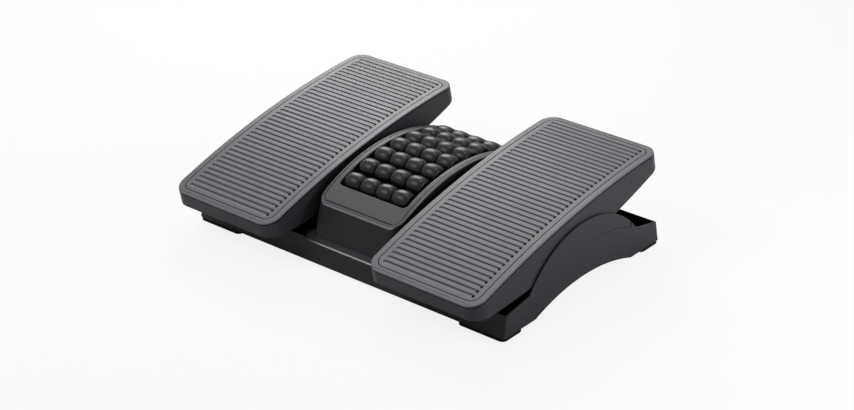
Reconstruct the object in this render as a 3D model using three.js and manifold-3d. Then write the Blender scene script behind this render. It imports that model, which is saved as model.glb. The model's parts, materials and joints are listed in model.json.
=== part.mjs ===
// Tilting under-desk footrest: two rocking pedals beside a bank of massage rollers, on a moulded tray.
// Millimetres. X runs across the footrest, Y from the heel side to the toe side, Z up from the floor.
import * as THREE from 'three';
import { mergeVertices } from 'three/addons/utils/BufferGeometryUtils.js';
import Module from 'manifold-3d';

const wasm = await Module();
wasm.setup();

// Clearances
const SEAT_GAP = 0.3;             // between pieces that rest on or in one another
const RUNNING_GAP = 0.35;         // between a turning piece and what carries it
const OVERRUN = 5;                // how far a cutting shape reaches past what it cuts
const WELD = 0.4;                 // how far a rib or boss runs into the wall that carries it

// Massage rollers, in rows along the arched top of the housing
const ROLLER_COUNT = 7;
const ROLLER_GAP = 1.27;
const ROLLER_SINK = 8.5;          // of a roller's axis below the arched top
const ROLLER_END_PLAY = 0.7;
const LOBE_COUNT = 4;
const LOBE_PITCH = 28;
const LOBE_RADIUS = 15;
const LOBE_SQUARENESS = 0.75;     // exponent: 1 is round, less is squarer
const WAIST_RADIUS = 8;
const HUB_RADIUS = 5;
const HUB_LENGTH = 4.6;
const ROLLER_AXLE_RADIUS = 2;
const ROLLER_AXLE_REACH = 5;      // of the roller's axle past the bay, into its notch

// Roller housing and its cover
const HOUSING_MIDDLE_Y = 3;
const HOUSING_TOP = 121.5;
const HOUSING_RADIUS = 268.3;     // of the arched top
const HOUSING_LEAN = 18.3;        // degrees that the housing's two end walls lean inwards
const HOUSING_END_MARGIN = 7.3;   // from the tray's end wall to the housing's foot, on average
const HOUSING_CORNER = 16;
const HOUSING_WALL = 2.6;
const RIM_WIDTH = 4.4;
const RAIL_END_WALL = 1.1;        // between the notches for the roller axles and the rim
const RAIL_DEPTH = 14;            // of the two side rails that have those notches
const COVER_THICKNESS = 3;
const DECK_THICKNESS = 2.7;       // of the ledge that the cover lies on
const OPENING_SIDE_GAP = 4;       // between the end lobes and the cover
const OPENING_END_GAP = 2.8;      // between the first and last roller and the cover
const OPENING_CORNER = 6;
const BAY_MARGIN = 3;             // of the roller bay past the opening's two ends

// Screws that hold the housing down
const SCREW_SIDE_INSET = 24;
const SCREW_END_INSET = 16;
const SCREW_SHANK_RADIUS = 1.9;
const SCREW_HEAD_RADIUS = 4;
const SCREW_HEAD_HEIGHT = 2.4;
const SCREW_BITE = 14;
const SCREW_BOSS_RADIUS = 5;

// Pedals, in their own level frame: the ends of the crown stand on a straight chord above the pivot
const PEDAL_WIDTH = 187;
const PEDAL_LENGTH = 396;
const PEDAL_CORNER = 22;
const PEDAL_WALL = 2.5;
const PEDAL_TOP_WALL = 5;
const CROWN_RISE = 15;
const SKIRT_DEPTH = 22;           // below the chord at the pedal's ends
const BELLY_DEPTH = 17.5;         // more than that at the pedal's middle
const PEDAL_INNER_GAP = 9.3;      // to the block of the tray
const PEDAL_OUTER_GAP = 0.7;      // to the side wall of the tray
const PEDAL_RIB = 2;
const PEDAL_RIB_DEPTH = 12;
const PEDAL_RIB_PITCH = 75;
const PEDAL_RIB_ROWS = 5;
const PEDAL_RIB_OFFSET = 45.5;

// Pedal mats
const MAT_MARGIN = 9.5;           // rim of the pedal outside the parting line
const MAT_CORNER = 14;
const MAT_THICKNESS = 2.3;
const GROOVE_COUNT = 41;
const GROOVE_WIDTH = 3.2;
const GROOVE_DEPTH = 1.2;
const GROOVE_SIDE_MARGIN = 8;
const GROOVE_END_MARGIN = 9.5;

// Pivot
const PIVOT_Z = 78;
const PIVOT_BEHIND_MIDDLE = 19;   // towards the toe side of the pedal's middle
const PIVOT_BELOW_CHORD = 29.5;
const REST_TILT = 10;             // degrees, toe side up, lying on the front bumper
const TIPPED_TILT = -13;          // degrees, heel side up, lying on the rear bumper
const AXLE_RADIUS = 4;
const BOSS_WALL = 4;
const BUSH_WALL = 2.8;
const BUSH_MOUTH = 6;             // narrower than the axle, so that the bush snaps over it
const FLANGE_HEIGHT = 2;
const FLANGE_THICKNESS = 1.5;
const PILLAR_OFFSET = 62;
const PILLAR_THICKNESS = 12;
const PILLAR_LENGTH = 26;
const PILLAR_RISE = 4;            // of the pillar's top above the pivot
const FLARE = 4;                  // added on every side at the foot of a pillar or post
const CORE_WALL = 2.4;            // of the pillars and posts, which are hollow from below

// Stops
const STOP_ARM = 100;             // from the pivot along the pedal
const STOP_PAD = 18;
const STOP_PAD_THICKNESS = 2.5;
const BUMPER_RADIUS = 7;
const BUMPER_CROWN_RADIUS = 12;
const BUMPER_HEIGHT = 5;
const BUMPER_STUD_RADIUS = 2.5;
const BUMPER_STUD_LENGTH = 6;
const POST_WIDTH = 19;

// Base tray
const TRAY_DEPTH = 338;
const TRAY_WALL = 2.5;
const TRAY_CORNER = 4;
const END_LEAN = 9.8;             // degrees that the front and rear walls lean inwards
const FRONT_WALL_TOP = 36.2;
const REAR_WALL_TOP = 33.6;
const DOME_TOP = 102.6;
const DOME_RADIUS = 143;
const DOME_MIDDLE_Y = 1;
const DOME_HALF_ANGLE = 53.5;     // degrees, from the crest of the dome to each foot of it
const ARCH_RISE = 19.4;           // of the curved lower edge of the tray
const ARCH_HALF_SPAN = 103;

// Panel set back in each dome's outer face, fading out towards the heel side
const RELIEF_DEPTH = 0.9;
const RELIEF_RADIUS = 245;
const RELIEF_CREST = 70.6;
const RELIEF_MIDDLE_Y = 6;
const RELIEF_FRONT_Y = -25;
const RELIEF_REAR_Y = 104.7;

// Block of the tray between the wells, which carries the roller housing
const BLOCK_TOP = 38;
const BLOCK_SHOULDER = 3.5;       // of the block past each side of the housing
const BLOCK_RIB = 2.2;
const BLOCK_RIB_LIFT = 4;         // from the tray's lower edge up to the ribs under the block
const BLOCK_RIB_PITCH = 60;
const BLOCK_RIB_ROWS = 5;
const BLOCK_RIB_OFFSET = 25;

// Rubber feet
const FOOT_WIDTH = 78;
const FOOT_DEPTH = 41;
const FOOT_HEIGHT = 4.5;
const FOOT_INSET = 0.4;
const FOOT_CORNER = 8;
const FOOT_STUD_RADIUS = 4;
const FOOT_STUD_PROUD = 1.5;      // of the tray's floor

// Steps of the curves; an arc in a plan outline gets twice as many flats as its steps
const CORNER_STEPS = 3;
const GROOVE_END_STEPS = 1;
const CROWN_STEPS = 14;
const ARC_STEPS = 16;
const ROUND_STEPS = 12;
const SMALL_STEPS = 8;
const ROLLER_STEPS = 12;
const LOBE_STEPS = 4;
const BUMPER_STEPS = 4;
const LANDS_PER_FLAT = 2;          // of a mat's crown

const moulded = (color, roughness) => new THREE.MeshStandardMaterial({ color, roughness, metalness: 0 });
const MATERIALS = {
  tray: moulded(0x2c2c30, 0.5),
  pedal: moulded(0x3d3d42, 0.55),
  mat: moulded(0x6e6e73, 0.7),
  housing: moulded(0x3a3a3e, 0.5),
  cover: moulded(0x5c5c61, 0.6),
  roller: moulded(0x1b1b1d, 0.35),
  rubber: moulded(0x111112, 0.9),
  nylon: moulded(0xd8d5cc, 0.5),
  steel: new THREE.MeshStandardMaterial({ color: 0xb4b6ba, roughness: 0.3, metalness: 1 }),
};

const radians = THREE.MathUtils.degToRad;
const { lerp } = THREE.MathUtils;

// Solids from three.js geometry, and back
function solid(geometry) {
  const bare = geometry.clone();
  bare.deleteAttribute('normal');
  bare.deleteAttribute('uv');
  const merged = mergeVertices(bare);
  const corners = [];
  for (let i = 0; i < merged.index.count; i += 3) {
    const [a, b, c] = [i, i + 1, i + 2].map((place) => merged.index.getX(place));
    if (a !== b && b !== c && c !== a) corners.push(a, b, c);
  }
  const wrap = (list) => new wasm.Manifold(new wasm.Mesh({
    numProp: 3,
    vertProperties: Float32Array.from(merged.attributes.position.array),
    triVerts: Uint32Array.from(list),
  }));
  const made = wrap(corners);
  return made.volume() < 0 ? wrap(corners.toReversed()) : made;
}

function geometryOf(body) {
  const mesh = body.getMesh();
  const geometry = new THREE.BufferGeometry();
  geometry.setAttribute('position', new THREE.BufferAttribute(Float32Array.from(mesh.vertProperties), 3));
  geometry.setIndex(new THREE.BufferAttribute(Uint32Array.from(mesh.triVerts), 1));
  const faceted = geometry.toNonIndexed();
  faceted.computeVertexNormals();
  return faceted;
}

const joined = (bodies) => bodies.reduce((sum, body) => sum.add(body));

// Points of a curve z(y) from y0 to y1
function curve(height, y0, y1, steps) {
  return Array.from({ length: steps + 1 }, (_, i) => {
    const y = lerp(y0, y1, i / steps);
    return [y, height(y)];
  });
}

// A side outline, drawn as [y, z] points, stretched across from x0 to x1
function across(points, x0, x1) {
  const shape = new THREE.Shape(points.map(([y, z]) => new THREE.Vector2(y, z)));
  const geometry = new THREE.ExtrudeGeometry(shape, { depth: x1 - x0, bevelEnabled: false });
  const turn = new THREE.Matrix4().makeBasis(
    new THREE.Vector3(0, 1, 0), new THREE.Vector3(0, 0, 1), new THREE.Vector3(1, 0, 0));
  return solid(geometry.applyMatrix4(turn.setPosition(x0, 0, 0)));
}

// What lies between two curves z(y) from y0 to y1, stretched across from x0 to x1
function slab(low, high, y0, y1, x0, x1, steps = CROWN_STEPS) {
  return across([...curve(low, y0, y1, steps), ...curve(high, y0, y1, steps).reverse()], x0, x1);
}

function block(x0, x1, y0, y1, z0, z1) {
  const geometry = new THREE.BoxGeometry(x1 - x0, y1 - y0, z1 - z0);
  return solid(geometry.translate((x0 + x1) / 2, (y0 + y1) / 2, (z0 + z1) / 2));
}

function polygon(points) {
  return new THREE.Shape(points.map(([x, y]) => new THREE.Vector2(x, y)));
}

function rectangle(width, length, x, y) {
  const [halfWidth, halfLength] = [width / 2, length / 2];
  return polygon([[x - halfWidth, y - halfLength], [x + halfWidth, y - halfLength],
    [x + halfWidth, y + halfLength], [x - halfWidth, y + halfLength]]);
}

function roundedRectangle(width, length, radius, middleX = 0, middleY = 0) {
  const [x, y] = [width / 2 - radius, length / 2 - radius];
  const shape = new THREE.Shape();
  for (const [cornerX, cornerY, start] of [[x, y, 0], [-x, y, 90], [-x, -y, 180], [x, -y, 270]]) {
    shape.absarc(middleX + cornerX, middleY + cornerY, radius, radians(start), radians(start + 90));
  }
  return shape;
}

// A plan outline raised from z0 to z1
function upright(shape, z0, z1) {
  const settings = { depth: z1 - z0, bevelEnabled: false, curveSegments: CORNER_STEPS };
  const geometry = new THREE.ExtrudeGeometry(shape, settings);
  return solid(geometry.translate(0, 0, z0));
}

// A body between two plan outlines of equally many points, at heights z0 and z1
function loft(lower, z0, upper, z1) {
  const rings = [lower, upper].map((shape) => shape.extractPoints(CORNER_STEPS).shape);
  const count = rings[0].length;
  const places = rings.flatMap((ring, k) => ring.flatMap((point) => [point.x, point.y, k ? z1 : z0]));
  const index = [];
  for (let i = 0; i < count; i += 1) {
    const next = (i + 1) % count;
    index.push(i, next, count + next, i, count + next, count + i);
  }
  for (const [a, b, c] of THREE.ShapeUtils.triangulateShape(rings[0], [])) {
    index.push(c, b, a, count + a, count + b, count + c);
  }
  const geometry = new THREE.BufferGeometry();
  geometry.setAttribute('position', new THREE.Float32BufferAttribute(places, 3));
  geometry.setIndex(index);
  return solid(geometry.toNonIndexed());
}

// A body turned about an axis along X through y, z, from [x, radius] points
function turned(profile, y = 0, z = 0, steps = ROUND_STEPS) {
  const points = profile.map(([x, radius]) => new THREE.Vector2(radius, x));
  const geometry = new THREE.LatheGeometry(points, steps);
  return solid(geometry.rotateZ(-Math.PI / 2).translate(0, y, z));
}

function rod(radius, x0, x1, y = 0, z = 0, steps = ROUND_STEPS) {
  return turned([[x0, 0], [x0, radius], [x1, radius], [x1, 0]], y, z, steps);
}

// A body turned about an upright axis through x, y, from [radius, z] points
function spun(profile, x, y, steps = SMALL_STEPS) {
  const points = profile.map(([radius, z]) => new THREE.Vector2(radius, z));
  return solid(new THREE.LatheGeometry(points, steps).rotateX(Math.PI / 2).translate(x, y, 0));
}

const post = (radius, x, y, z0, z1) => spun([[0, z0], [radius, z0], [radius, z1], [0, z1]], x, y);

const SIDES = [-1, 1];

// A span across the footrest, given for its right side, as it lies on side 1 or -1
const span = (side, near, far) => [side * near, side * far].toSorted((a, b) => a - b);

const cut = (body, cutters) => cutters.reduce((rest, cutter) => rest.subtract(cutter), body);

// Where the pieces stand across the footrest, from the rollers outwards
const LOBES_HALF = LOBE_COUNT * LOBE_PITCH / 2;
const HUB_END = LOBES_HALF + HUB_LENGTH;
const BAY_HALF = HUB_END + ROLLER_END_PLAY;
const ROLLER_AXLE_END = BAY_HALF + ROLLER_AXLE_REACH;
const NOTCH_END = ROLLER_AXLE_END + ROLLER_END_PLAY;
const HOUSING_WIDTH = 2 * (NOTCH_END + RAIL_END_WALL + RIM_WIDTH);
const BLOCK_HALF = HOUSING_WIDTH / 2 + BLOCK_SHOULDER;
const PEDAL_HALF = PEDAL_WIDTH / 2;
const PEDAL_MIDDLE_X = BLOCK_HALF + PEDAL_INNER_GAP + PEDAL_HALF;
const WALL_INNER_X = PEDAL_MIDDLE_X + PEDAL_HALF + PEDAL_OUTER_GAP;
const TRAY_HALF_WIDTH = WALL_INNER_X + TRAY_WALL;
const PIVOT_Y = DOME_MIDDLE_Y;

// Heights
const TRAY_FOOT = FOOT_HEIGHT + SEAT_GAP;
const HOUSING_FOOT = BLOCK_TOP + SEAT_GAP;
const SKY = Math.max(DOME_TOP, HOUSING_TOP) + OVERRUN;

// Radius of the circle that rises so much over so much half span
const archRadius = (halfSpan, rise) => (halfSpan ** 2 + rise ** 2) / (2 * rise);

// Height of a circle that crests at a given height, at a distance y from the crest
const circleZ = (crest, radius, y) => crest - radius + Math.sqrt(radius ** 2 - y ** 2);

// Tray
const TRAY_END = TRAY_DEPTH / 2 + OVERRUN;
const endY = (z) => TRAY_DEPTH / 2 - Math.tan(radians(END_LEAN)) * (z - TRAY_FOOT);
const innerEndY = (z) => endY(z) - TRAY_WALL;
const archZ = (y) => circleZ(
  TRAY_FOOT + ARCH_RISE, archRadius(ARCH_HALF_SPAN, ARCH_RISE), Math.min(Math.abs(y), ARCH_HALF_SPAN));

function lowerEdge(lift = 0) {
  const arch = curve((y) => archZ(y) + lift, -ARCH_HALF_SPAN, ARCH_HALF_SPAN, ARC_STEPS);
  return [[-TRAY_END, TRAY_FOOT + lift], ...arch, [TRAY_END, TRAY_FOOT + lift]];
}

function domePoint(angle) {
  const turn = radians(angle);
  return [DOME_MIDDLE_Y + DOME_RADIUS * Math.sin(turn), DOME_TOP - DOME_RADIUS * (1 - Math.cos(turn))];
}

function domeEdge() {
  const angle = (i) => lerp(DOME_HALF_ANGLE, -DOME_HALF_ANGLE, i / ARC_STEPS);
  return Array.from({ length: ARC_STEPS + 1 }, (_, i) => domePoint(angle(i)));
}

// Everything from the tray's lower edge up to a top edge, drawn from the rear wall forwards
function trayProfile(topEdge, x0, x1) {
  const rear = [[TRAY_END, REAR_WALL_TOP], [endY(REAR_WALL_TOP), REAR_WALL_TOP]];
  const front = [[-endY(FRONT_WALL_TOP), FRONT_WALL_TOP], [-TRAY_END, FRONT_WALL_TOP]];
  return across([...lowerEdge(), ...rear, ...topEdge, ...front], x0, x1);
}

// The straight edge that climbs from the front wall to the dome, where it reaches height z
function frontSlopeY(z) {
  const [footY, footZ] = domePoint(-DOME_HALF_ANGLE);
  return lerp(-endY(FRONT_WALL_TOP), footY, (z - FRONT_WALL_TOP) / (footZ - FRONT_WALL_TOP));
}

function trayEnvelope() {
  const plan = (z) => roundedRectangle(2 * TRAY_HALF_WIDTH, 2 * endY(z), TRAY_CORNER);
  return loft(plan(TRAY_FOOT), TRAY_FOOT, plan(SKY), SKY);
}

// The space between the end walls, from a floor up to a roof
function betweenEnds(floor, roof, x0, x1) {
  const low = floor[0][1];
  const outline = [[-innerEndY(low), low], ...floor.slice(1, -1), [innerEndY(low), low]];
  return across([...outline, [innerEndY(roof), roof], [-innerEndY(roof), roof]], x0, x1);
}

function well(side) {
  return betweenEnds(lowerEdge(TRAY_WALL), SKY, ...span(side, BLOCK_HALF, WALL_INNER_X));
}

// Underside of the block, less the ribs that are left standing in it
function blockHollow() {
  const half = BLOCK_HALF - TRAY_WALL;
  const space = betweenEnds(lowerEdge(-OVERRUN), BLOCK_TOP - TRAY_WALL, -half, half);
  const lower = (y) => archZ(y) + BLOCK_RIB_LIFT;
  const rib = (x0, x1, y0, y1, steps) => slab(lower, () => BLOCK_TOP, y0, y1, x0, x1, steps);
  const rows = Array.from({ length: BLOCK_RIB_ROWS }, (_, i) => {
    const y = (i - (BLOCK_RIB_ROWS - 1) / 2) * BLOCK_RIB_PITCH;
    return rib(-half, half, y - BLOCK_RIB / 2, y + BLOCK_RIB / 2, 1);
  });
  const lines = [-BLOCK_RIB_OFFSET, BLOCK_RIB_OFFSET].map(
    (x) => rib(x - BLOCK_RIB / 2, x + BLOCK_RIB / 2, -TRAY_END, TRAY_END, ARC_STEPS));
  return cut(space, [...rows, ...lines]);
}

// Wedge that sets back the panel above the crease of one dome
function relief(side) {
  const crease = (y) => circleZ(RELIEF_CREST, RELIEF_RADIUS, y - RELIEF_MIDDLE_Y);
  const [x0, x1] = span(side, WALL_INNER_X, TRAY_HALF_WIDTH + OVERRUN);
  const panel = slab(crease, () => SKY, RELIEF_FRONT_Y, RELIEF_REAR_Y, x0, x1, ARC_STEPS);
  const face = side * TRAY_HALF_WIDTH;
  const wedge = polygon([
    [face, RELIEF_FRONT_Y], [face + side * OVERRUN, RELIEF_FRONT_Y],
    [face + side * OVERRUN, RELIEF_REAR_Y], [face - side * RELIEF_DEPTH, RELIEF_REAR_Y]]);
  return panel.intersect(upright(wedge, 0, SKY));
}

// A stand on the tray's floor, flared up to its shoulder and then straight, and its core, open from below
function stand(x, y, width, length, shoulder, top) {
  const low = TRAY_FOOT - OVERRUN;
  const plan = (growth) => rectangle(width + 2 * growth, length + 2 * growth, x, y);
  const flared = loft(plan(FLARE), low, plan(0), shoulder).add(upright(plan(0), shoulder - WELD, top));
  const sky = [[TRAY_END, SKY], [-TRAY_END, SKY]];
  const aboveArch = across([...lowerEdge(), ...sky], -TRAY_HALF_WIDTH, TRAY_HALF_WIDTH);
  const core = loft(plan(FLARE - CORE_WALL), low, plan(-CORE_WALL), shoulder);
  return { outside: flared.intersect(aboveArch), core };
}

// Bushes on their pillars
const BORE_RADIUS = AXLE_RADIUS + RUNNING_GAP;
const BUSH_RADIUS = BORE_RADIUS + BUSH_WALL;
const SLOT_RADIUS = BUSH_RADIUS + SEAT_GAP;
const FLANGE_IN = PILLAR_THICKNESS / 2 + SEAT_GAP;
const FLANGE_OUT = FLANGE_IN + FLANGE_THICKNESS;

function pillar(x) {
  const shoulder = PIVOT_Z - SLOT_RADIUS - CORE_WALL;
  const top = PIVOT_Z + PILLAR_RISE;
  const { outside, core } = stand(x, PIVOT_Y, PILLAR_THICKNESS, PILLAR_LENGTH, shoulder, top);
  const [x0, x1] = [x - PILLAR_THICKNESS, x + PILLAR_THICKNESS];
  const slot = rod(SLOT_RADIUS, x0, x1, PIVOT_Y, PIVOT_Z)
    .add(block(x0, x1, PIVOT_Y - SLOT_RADIUS, PIVOT_Y + SLOT_RADIUS, PIVOT_Z, SKY));
  return { outside: outside.subtract(slot), core };
}

function bush() {
  const flange = BUSH_RADIUS + FLANGE_HEIGHT;
  const half = [[FLANGE_IN, BUSH_RADIUS], [FLANGE_IN, flange], [FLANGE_OUT, flange], [FLANGE_OUT, 0]];
  const body = turned([...half.map(([x, radius]) => [-x, radius]).toReversed(), ...half]);
  const [x0, x1] = [-PILLAR_THICKNESS, PILLAR_THICKNESS];
  const mouth = block(x0, x1, -BUSH_MOUTH / 2, BUSH_MOUTH / 2, 0, flange + OVERRUN);
  return cut(body, [rod(BORE_RADIUS, x0, x1), mouth]);
}

// Bumpers on their posts: each one's crown just misses the pad that comes down on it at that tilt
function bumperPlace(tilt) {
  const turn = radians(tilt);
  const arm = -Math.sign(tilt) * STOP_ARM;
  const reach = BUMPER_CROWN_RADIUS + SEAT_GAP;
  const y = PIVOT_Y + arm * Math.cos(turn) + reach * Math.sin(turn);
  const crown = PIVOT_Z + arm * Math.sin(turn) - reach * Math.cos(turn) + BUMPER_CROWN_RADIUS;
  return { y, crown, seat: crown - BUMPER_HEIGHT };
}

function bumper() {
  const crownZ = (radius) => circleZ(BUMPER_HEIGHT, BUMPER_CROWN_RADIUS, radius);
  const crown = Array.from({ length: BUMPER_STEPS + 1 }, (_, i) => {
    const radius = BUMPER_RADIUS * (1 - i / BUMPER_STEPS);
    return [radius, crownZ(radius)];
  });
  return spun([[0, -BUMPER_STUD_LENGTH], [BUMPER_STUD_RADIUS, -BUMPER_STUD_LENGTH],
    [BUMPER_STUD_RADIUS, 0], [BUMPER_RADIUS, 0], ...crown], 0, 0, ROUND_STEPS);
}

function bumperPost(x, tilt) {
  const { y, seat } = bumperPlace(tilt);
  const top = seat - SEAT_GAP;
  const shoulder = top - CORE_WALL;
  const { outside, core } = stand(x, y, POST_WIDTH, POST_WIDTH, shoulder, top);
  const hole = post(BUMPER_STUD_RADIUS + SEAT_GAP, x, y, shoulder - WELD, top + OVERRUN);
  return { outside, core: core.add(hole) };
}

// Feet
const FOOT_X = TRAY_HALF_WIDTH - FOOT_INSET - FOOT_WIDTH / 2;
const FOOT_Y = TRAY_DEPTH / 2 - FOOT_INSET - FOOT_DEPTH / 2;
const STUD_TOP = TRAY_FOOT + TRAY_WALL + FOOT_STUD_PROUD;

function foot(x, y) {
  const pad = upright(roundedRectangle(FOOT_WIDTH, FOOT_DEPTH, FOOT_CORNER, x, y), 0, FOOT_HEIGHT);
  return pad.add(post(FOOT_STUD_RADIUS, x, y, FOOT_HEIGHT - WELD, STUD_TOP));
}

const footHole = (x, y) => post(FOOT_STUD_RADIUS + SEAT_GAP, x, y, TRAY_FOOT - OVERRUN, STUD_TOP);

// Screws, driven up through the block into the housing's bosses
const HOUSING_FOOT_HALF = endY(BLOCK_TOP) - HOUSING_END_MARGIN;
const SCREW_X = HOUSING_WIDTH / 2 - SCREW_SIDE_INSET;
const SCREW_Y = HOUSING_FOOT_HALF - SCREW_END_INSET;
const SCREW_PLACES = SIDES.flatMap(
  (side) => SIDES.map((end) => [side * SCREW_X, HOUSING_MIDDLE_Y + end * SCREW_Y]));
const HEAD_TOP = BLOCK_TOP - TRAY_WALL - SEAT_GAP;
const SCREW_TIP = HOUSING_FOOT + SCREW_BITE;

function screw(x, y) {
  const head = HEAD_TOP - SCREW_HEAD_HEIGHT;
  return spun([[0, head], [SCREW_HEAD_RADIUS, head], [SCREW_HEAD_RADIUS, HEAD_TOP],
    [SCREW_SHANK_RADIUS, HEAD_TOP], [SCREW_SHANK_RADIUS, SCREW_TIP], [0, SCREW_TIP]], x, y);
}

function screwHole(x, y) {
  const pocket = post(SCREW_HEAD_RADIUS + SEAT_GAP, x, y, TRAY_FOOT - OVERRUN, BLOCK_TOP - TRAY_WALL);
  return pocket.add(post(SCREW_SHANK_RADIUS + SEAT_GAP, x, y, TRAY_FOOT, BLOCK_TOP + OVERRUN));
}

const PILLAR_PLACES = SIDES.flatMap(
  (side) => SIDES.map((end) => side * PEDAL_MIDDLE_X + end * PILLAR_OFFSET));

function tray() {
  const reach = TRAY_HALF_WIDTH + OVERRUN;
  const blockEdge = [[HOUSING_MIDDLE_Y + HOUSING_FOOT_HALF, BLOCK_TOP], [frontSlopeY(BLOCK_TOP), BLOCK_TOP]];
  const walls = SIDES.map((side) => trayProfile(domeEdge(), ...span(side, WALL_INNER_X, reach)));
  const outside = trayEnvelope().intersect(joined([trayProfile(blockEdge, -reach, reach), ...walls]));
  const posts = SIDES.flatMap(
    (side) => [REST_TILT, TIPPED_TILT].map((tilt) => bumperPost(side * PEDAL_MIDDLE_X, tilt)));
  const stands = [...PILLAR_PLACES.map(pillar), ...posts];
  const shell = cut(outside, SIDES.map(well));
  return cut(joined([shell, ...stands.map((made) => made.outside)]), [
    blockHollow(), ...SIDES.map(relief), ...stands.map((made) => made.core),
    ...SIDES.flatMap((side) => SIDES.map((end) => footHole(side * FOOT_X, end * FOOT_Y))),
    ...SCREW_PLACES.map(([x, y]) => screwHole(x, y))]);
}

// Pedals, with the pivot at 0, 0, 0 and the outer side towards side 1 or -1
const PEDAL_MIDDLE_Y = -PIVOT_BEHIND_MIDDLE;
const PEDAL_LOW = PIVOT_BELOW_CHORD - SKIRT_DEPTH - BELLY_DEPTH - OVERRUN;
const PEDAL_HIGH = PIVOT_BELOW_CHORD + CROWN_RISE + OVERRUN;
const SKIRT_INNER_X = PEDAL_HALF - PEDAL_WALL;
const BOSS_END = PILLAR_OFFSET + FLANGE_OUT + RUNNING_GAP;

const bow = (rise, y) => circleZ(rise, archRadius(PEDAL_LENGTH / 2, rise), y - PEDAL_MIDDLE_Y);
const crownZ = (y) => PIVOT_BELOW_CHORD + bow(CROWN_RISE, y);
const bellyZ = (y) => PIVOT_BELOW_CHORD - SKIRT_DEPTH - bow(BELLY_DEPTH, y);

function pedalPrism(inset, corner) {
  const [width, length] = [PEDAL_WIDTH - 2 * inset, PEDAL_LENGTH - 2 * inset];
  return upright(roundedRectangle(width, length, corner, 0, PEDAL_MIDDLE_Y), PEDAL_LOW, PEDAL_HIGH);
}

// What lies between two curves over the pedal's whole length
function pedalSlab(low, high, x0 = -PEDAL_WIDTH, x1 = PEDAL_WIDTH) {
  const reach = PEDAL_LENGTH / 2 + OVERRUN;
  return slab(low, high, PEDAL_MIDDLE_Y - reach, PEDAL_MIDDLE_Y + reach, x0, x1);
}

function pedalRibs() {
  const lower = (y) => crownZ(y) - PEDAL_TOP_WALL - PEDAL_RIB_DEPTH;
  const half = PEDAL_RIB / 2;
  const rows = Array.from({ length: PEDAL_RIB_ROWS }, (_, i) => {
    const y = PEDAL_MIDDLE_Y + (i - (PEDAL_RIB_ROWS - 1) / 2) * PEDAL_RIB_PITCH;
    return slab(lower, crownZ, y - half, y + half, -PEDAL_WIDTH, PEDAL_WIDTH, 1);
  });
  const lines = [-PEDAL_RIB_OFFSET, PEDAL_RIB_OFFSET].map(
    (x) => pedalSlab(lower, crownZ, x - half, x + half));
  return joined([...rows, ...lines]);
}

function boss(side) {
  const [x0, x1] = span(side, BOSS_END, SKIRT_INNER_X + WELD);
  const web = block(x0, x1, -PEDAL_RIB / 2, PEDAL_RIB / 2, 0, PEDAL_HIGH);
  return rod(AXLE_RADIUS + SEAT_GAP + BOSS_WALL, x0, x1).add(web);
}

// The flat pad that meets a bumper, on a crossed web
function stopPad(y) {
  const [half, web] = [STOP_PAD / 2, PEDAL_RIB / 2];
  return joined([
    block(-half, half, y - half, y + half, 0, STOP_PAD_THICKNESS),
    block(-half, half, y - web, y + web, STOP_PAD_THICKNESS - WELD, PEDAL_HIGH),
    block(-web, web, y - half, y + half, STOP_PAD_THICKNESS - WELD, PEDAL_HIGH)]);
}

function pedalShell(side) {
  const outside = pedalPrism(0, PEDAL_CORNER).intersect(pedalSlab(bellyZ, crownZ));
  const space = pedalPrism(PEDAL_WALL, PEDAL_CORNER - PEDAL_WALL)
    .intersect(pedalSlab(() => PEDAL_LOW, (y) => crownZ(y) - PEDAL_TOP_WALL));
  const inside = [pedalRibs(), boss(-1), boss(1), stopPad(-STOP_ARM), stopPad(STOP_ARM)];
  const seat = pedalPrism(MAT_MARGIN, MAT_CORNER)
    .intersect(pedalSlab((y) => crownZ(y) - MAT_THICKNESS - SEAT_GAP, () => PEDAL_HIGH));
  const bore = rod(AXLE_RADIUS + SEAT_GAP, ...span(side, -SKIRT_INNER_X, PEDAL_HALF + OVERRUN));
  return cut(outside, [cut(space, inside), seat, bore]);
}

function pedalAxle(side) {
  return rod(AXLE_RADIUS, ...span(side, -SKIRT_INNER_X + SEAT_GAP, PEDAL_HALF - SEAT_GAP));
}

// A groove with round ends, square to the crown at distance t from the pedal's middle
function groove(t) {
  const radius = GROOVE_WIDTH / 2;
  const straight = PEDAL_HALF - MAT_MARGIN - GROOVE_SIDE_MARGIN - radius;
  const shape = new THREE.Shape();
  shape.absarc(straight, 0, radius, -Math.PI / 2, Math.PI / 2);
  shape.absarc(-straight, 0, radius, Math.PI / 2, 3 * Math.PI / 2);
  const geometry = new THREE.ExtrudeGeometry(
    shape, { depth: GROOVE_DEPTH + OVERRUN, bevelEnabled: false, curveSegments: GROOVE_END_STEPS });
  const slope = Math.asin(t / archRadius(PEDAL_LENGTH / 2, CROWN_RISE));
  const y = PEDAL_MIDDLE_Y + t;
  return solid(geometry.translate(0, 0, -GROOVE_DEPTH).rotateX(-slope).translate(0, y, crownZ(y)));
}

// The mat's crown changes slope only on the lands, and its flats reach past both ends of the mat
function pedalMat() {
  const last = PEDAL_LENGTH / 2 - MAT_MARGIN - GROOVE_END_MARGIN;
  const pitch = 2 * last / (GROOVE_COUNT - 1);
  const flat = LANDS_PER_FLAT * pitch;
  const flats = Math.ceil(PEDAL_LENGTH / flat);
  const start = PEDAL_MIDDLE_Y - last - pitch / 2 - flat;
  const sheet = slab((y) => crownZ(y) - MAT_THICKNESS, crownZ,
    start, start + flats * flat, -PEDAL_WIDTH, PEDAL_WIDTH, flats);
  const blank = pedalPrism(MAT_MARGIN + SEAT_GAP, MAT_CORNER - SEAT_GAP).intersect(sheet);
  return cut(blank, Array.from({ length: GROOVE_COUNT }, (_, i) => groove(i * pitch - last)));
}

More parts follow.
